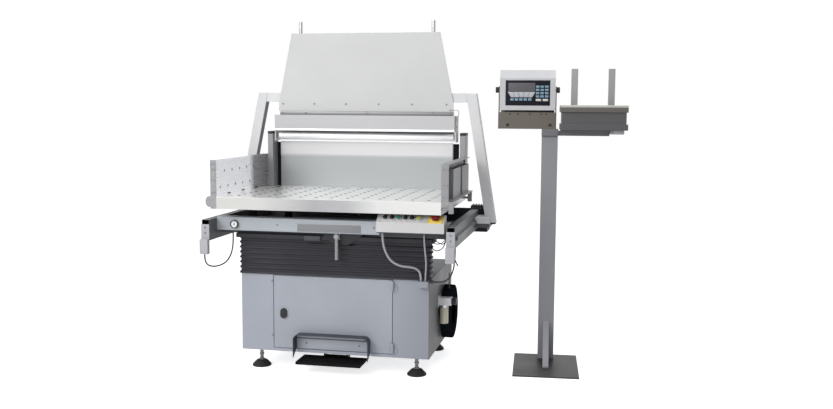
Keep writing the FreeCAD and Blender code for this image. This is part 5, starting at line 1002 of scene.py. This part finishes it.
def stand_details():
    spots = [stand_spot(x, BRACKET_FRONT, 1234) for x in (-216, 0)]
    screws("bracket_bolts", spots, STAND_FRONT, CLAMP_BOLT, "base", BLACK_PLASTIC)
    spots = [stand_spot(x, BRACKET_FRONT, 1290) for x in (-205, -165, -105, -45, -20)]
    screws("bracket_rim_bolts", spots, STAND_FRONT, RIM_BOLT, "base", BLACK_PLASTIC)
    back = [block("back", (-256, 170, 1214.5), (22, 203, 1218), SHEET_EDGE),
            block("back", (-256, 200, 1214.5), (22, 203, 1324), SHEET_EDGE)]
    give(on_stand(join(back, "bracket_back")), BRACKET_STEEL, "base")
    pad = block("scale_pad", (54, 20, 1204.6), (300, 180, 1211.3), SMALL_EDGE)
    give(on_stand(pad), SCALE_PAINT, "base")
    foot = disc("scale_foot", (336, 95, 1190), UP, 37, 20.6, RING_SIDES, SOFT_EDGE)
    give(on_stand(foot), WHITE_PLASTIC, "base")


bellows()
cables()
door_details()
foot_details()
loose_wires()
beam_details()
switch_details()
fence_details()
gantry_details()
indicator_details()
stand_details()


# Camera, light and floor

CAMERA_PLACE = (1.29703, -4.68619, 1.31225)
CAMERA_YAW = math.radians(11.46)
CAMERA_PITCH = math.radians(5.85)
CAMERA_ROLL = math.radians(0.36)
SENSOR_WIDTH = 36
FOCAL_SHARE = 932.53 / 833
SKY_COLOUR = (0.80, 0.82, 0.85, 1)
SKY_STRENGTH = 0.40
FLOOR_COLOUR = (0.92, 0.92, 0.92, 1)
FLOOR_ROUGHNESS = 0.9
FLOOR_GLOW = 0.72
FLOOR_SIZE = 40
FLOOR_LEVEL = -0.0005

# Name, place, aim, size and power of each lamp
LAMPS = (
    ("key", (-3.2, -4.2, 3.6), (0, 0, 0.8), 3.0, 175),
    ("front_fill", (-0.6, -5.4, 2.4), (0.2, 0, 0.8), 3.5, 70),
    ("top", (1.1, -0.5, 3.9), (-0.2, 0, 0.9), 2.6, 58),
)


def camera():
    level = math.cos(CAMERA_PITCH)
    ahead = Vector((-math.sin(CAMERA_YAW) * level, math.cos(CAMERA_YAW) * level, -math.sin(CAMERA_PITCH)))
    right = Vector((math.cos(CAMERA_YAW), math.sin(CAMERA_YAW), 0))
    up = right.cross(ahead)
    side = right * math.cos(CAMERA_ROLL) + up * math.sin(CAMERA_ROLL)
    top = up * math.cos(CAMERA_ROLL) - right * math.sin(CAMERA_ROLL)
    turn = Matrix((side, top, -ahead)).transposed()
    data = bpy.data.cameras.new("photo_camera")
    data.sensor_fit = "HORIZONTAL"
    data.sensor_width = SENSOR_WIDTH
    data.lens = FOCAL_SHARE * SENSOR_WIDTH
    item = bpy.data.objects.new("photo_camera", data)
    item.matrix_world = Matrix.Translation(CAMERA_PLACE) @ turn.to_4x4()
    scene.collection.objects.link(item)
    scene.camera = item


def lamp(name, spot, target, size, power):
    data = bpy.data.lights.new(name, "AREA")
    data.shape = "SQUARE"
    data.size = size
    data.energy = power
    item = bpy.data.objects.new(name, data)
    item.location = spot
    item.rotation_euler = (Vector(target) - Vector(spot)).to_track_quat("-Z", "Y").to_euler()
    scene.collection.objects.link(item)


def seen_directly(tree):
    """One for rays from the camera, also by way of metal or glass, and nought for the light itself."""
    rays = tree.nodes.new("ShaderNodeLightPath")
    result = rays.outputs["Is Camera Ray"]
    for kind in ("Is Glossy Ray", "Is Transmission Ray"):
        either = tree.nodes.new("ShaderNodeMath")
        either.operation = "MAXIMUM"
        tree.links.new(result, either.inputs[0])
        tree.links.new(rays.outputs[kind], either.inputs[1])
        result = either.outputs[0]
    return result


def sky():
    """Soft light from all round, seen as plain white."""
    world = bpy.data.worlds.new("studio")
    scene.world = world
    world.use_nodes = True
    tree = world.node_tree
    light = tree.nodes["Background"]
    light.inputs["Color"].default_value = SKY_COLOUR
    light.inputs["Strength"].default_value = SKY_STRENGTH
    white = tree.nodes.new("ShaderNodeBackground")
    white.inputs["Color"].default_value = WHITE
    white.inputs["Strength"].default_value = 1.0
    mix = tree.nodes.new("ShaderNodeMixShader")
    tree.links.new(seen_directly(tree), mix.inputs["Fac"])
    tree.links.new(light.outputs["Background"], mix.inputs[1])
    tree.links.new(white.outputs["Background"], mix.inputs[2])
    tree.links.new(mix.outputs["Shader"], tree.nodes["World Output"].inputs["Surface"])


def studio_floor():
    """Pale floor that is lifted to white where it is seen, and keeps the shadows."""
    deselect()
    bpy.ops.mesh.primitive_plane_add(size=FLOOR_SIZE, location=(0, 0, FLOOR_LEVEL))
    floor = settle(bpy.context.object, "studio_floor")
    pale = bpy.data.materials.new("pale_floor")
    pale.use_nodes = True
    tree = pale.node_tree
    matt = tree.nodes["Principled BSDF"]
    matt.inputs["Base Color"].default_value = FLOOR_COLOUR
    matt.inputs["Roughness"].default_value = FLOOR_ROUGHNESS
    glow = tree.nodes.new("ShaderNodeEmission")
    lift = tree.nodes.new("ShaderNodeMath")
    lift.operation = "MULTIPLY"
    lift.inputs[1].default_value = FLOOR_GLOW
    add = tree.nodes.new("ShaderNodeAddShader")
    tree.links.new(seen_directly(tree), lift.inputs[0])
    tree.links.new(lift.outputs[0], glow.inputs["Strength"])
    tree.links.new(matt.outputs["BSDF"], add.inputs[0])
    tree.links.new(glow.outputs["Emission"], add.inputs[1])
    tree.links.new(add.outputs["Shader"], tree.nodes["Material Output"].inputs["Surface"])
    floor.data.materials.append(pale)


scene.view_settings.view_transform = "Standard"
camera()
sky()
for entry in LAMPS:
    lamp(*entry)
studio_floor()
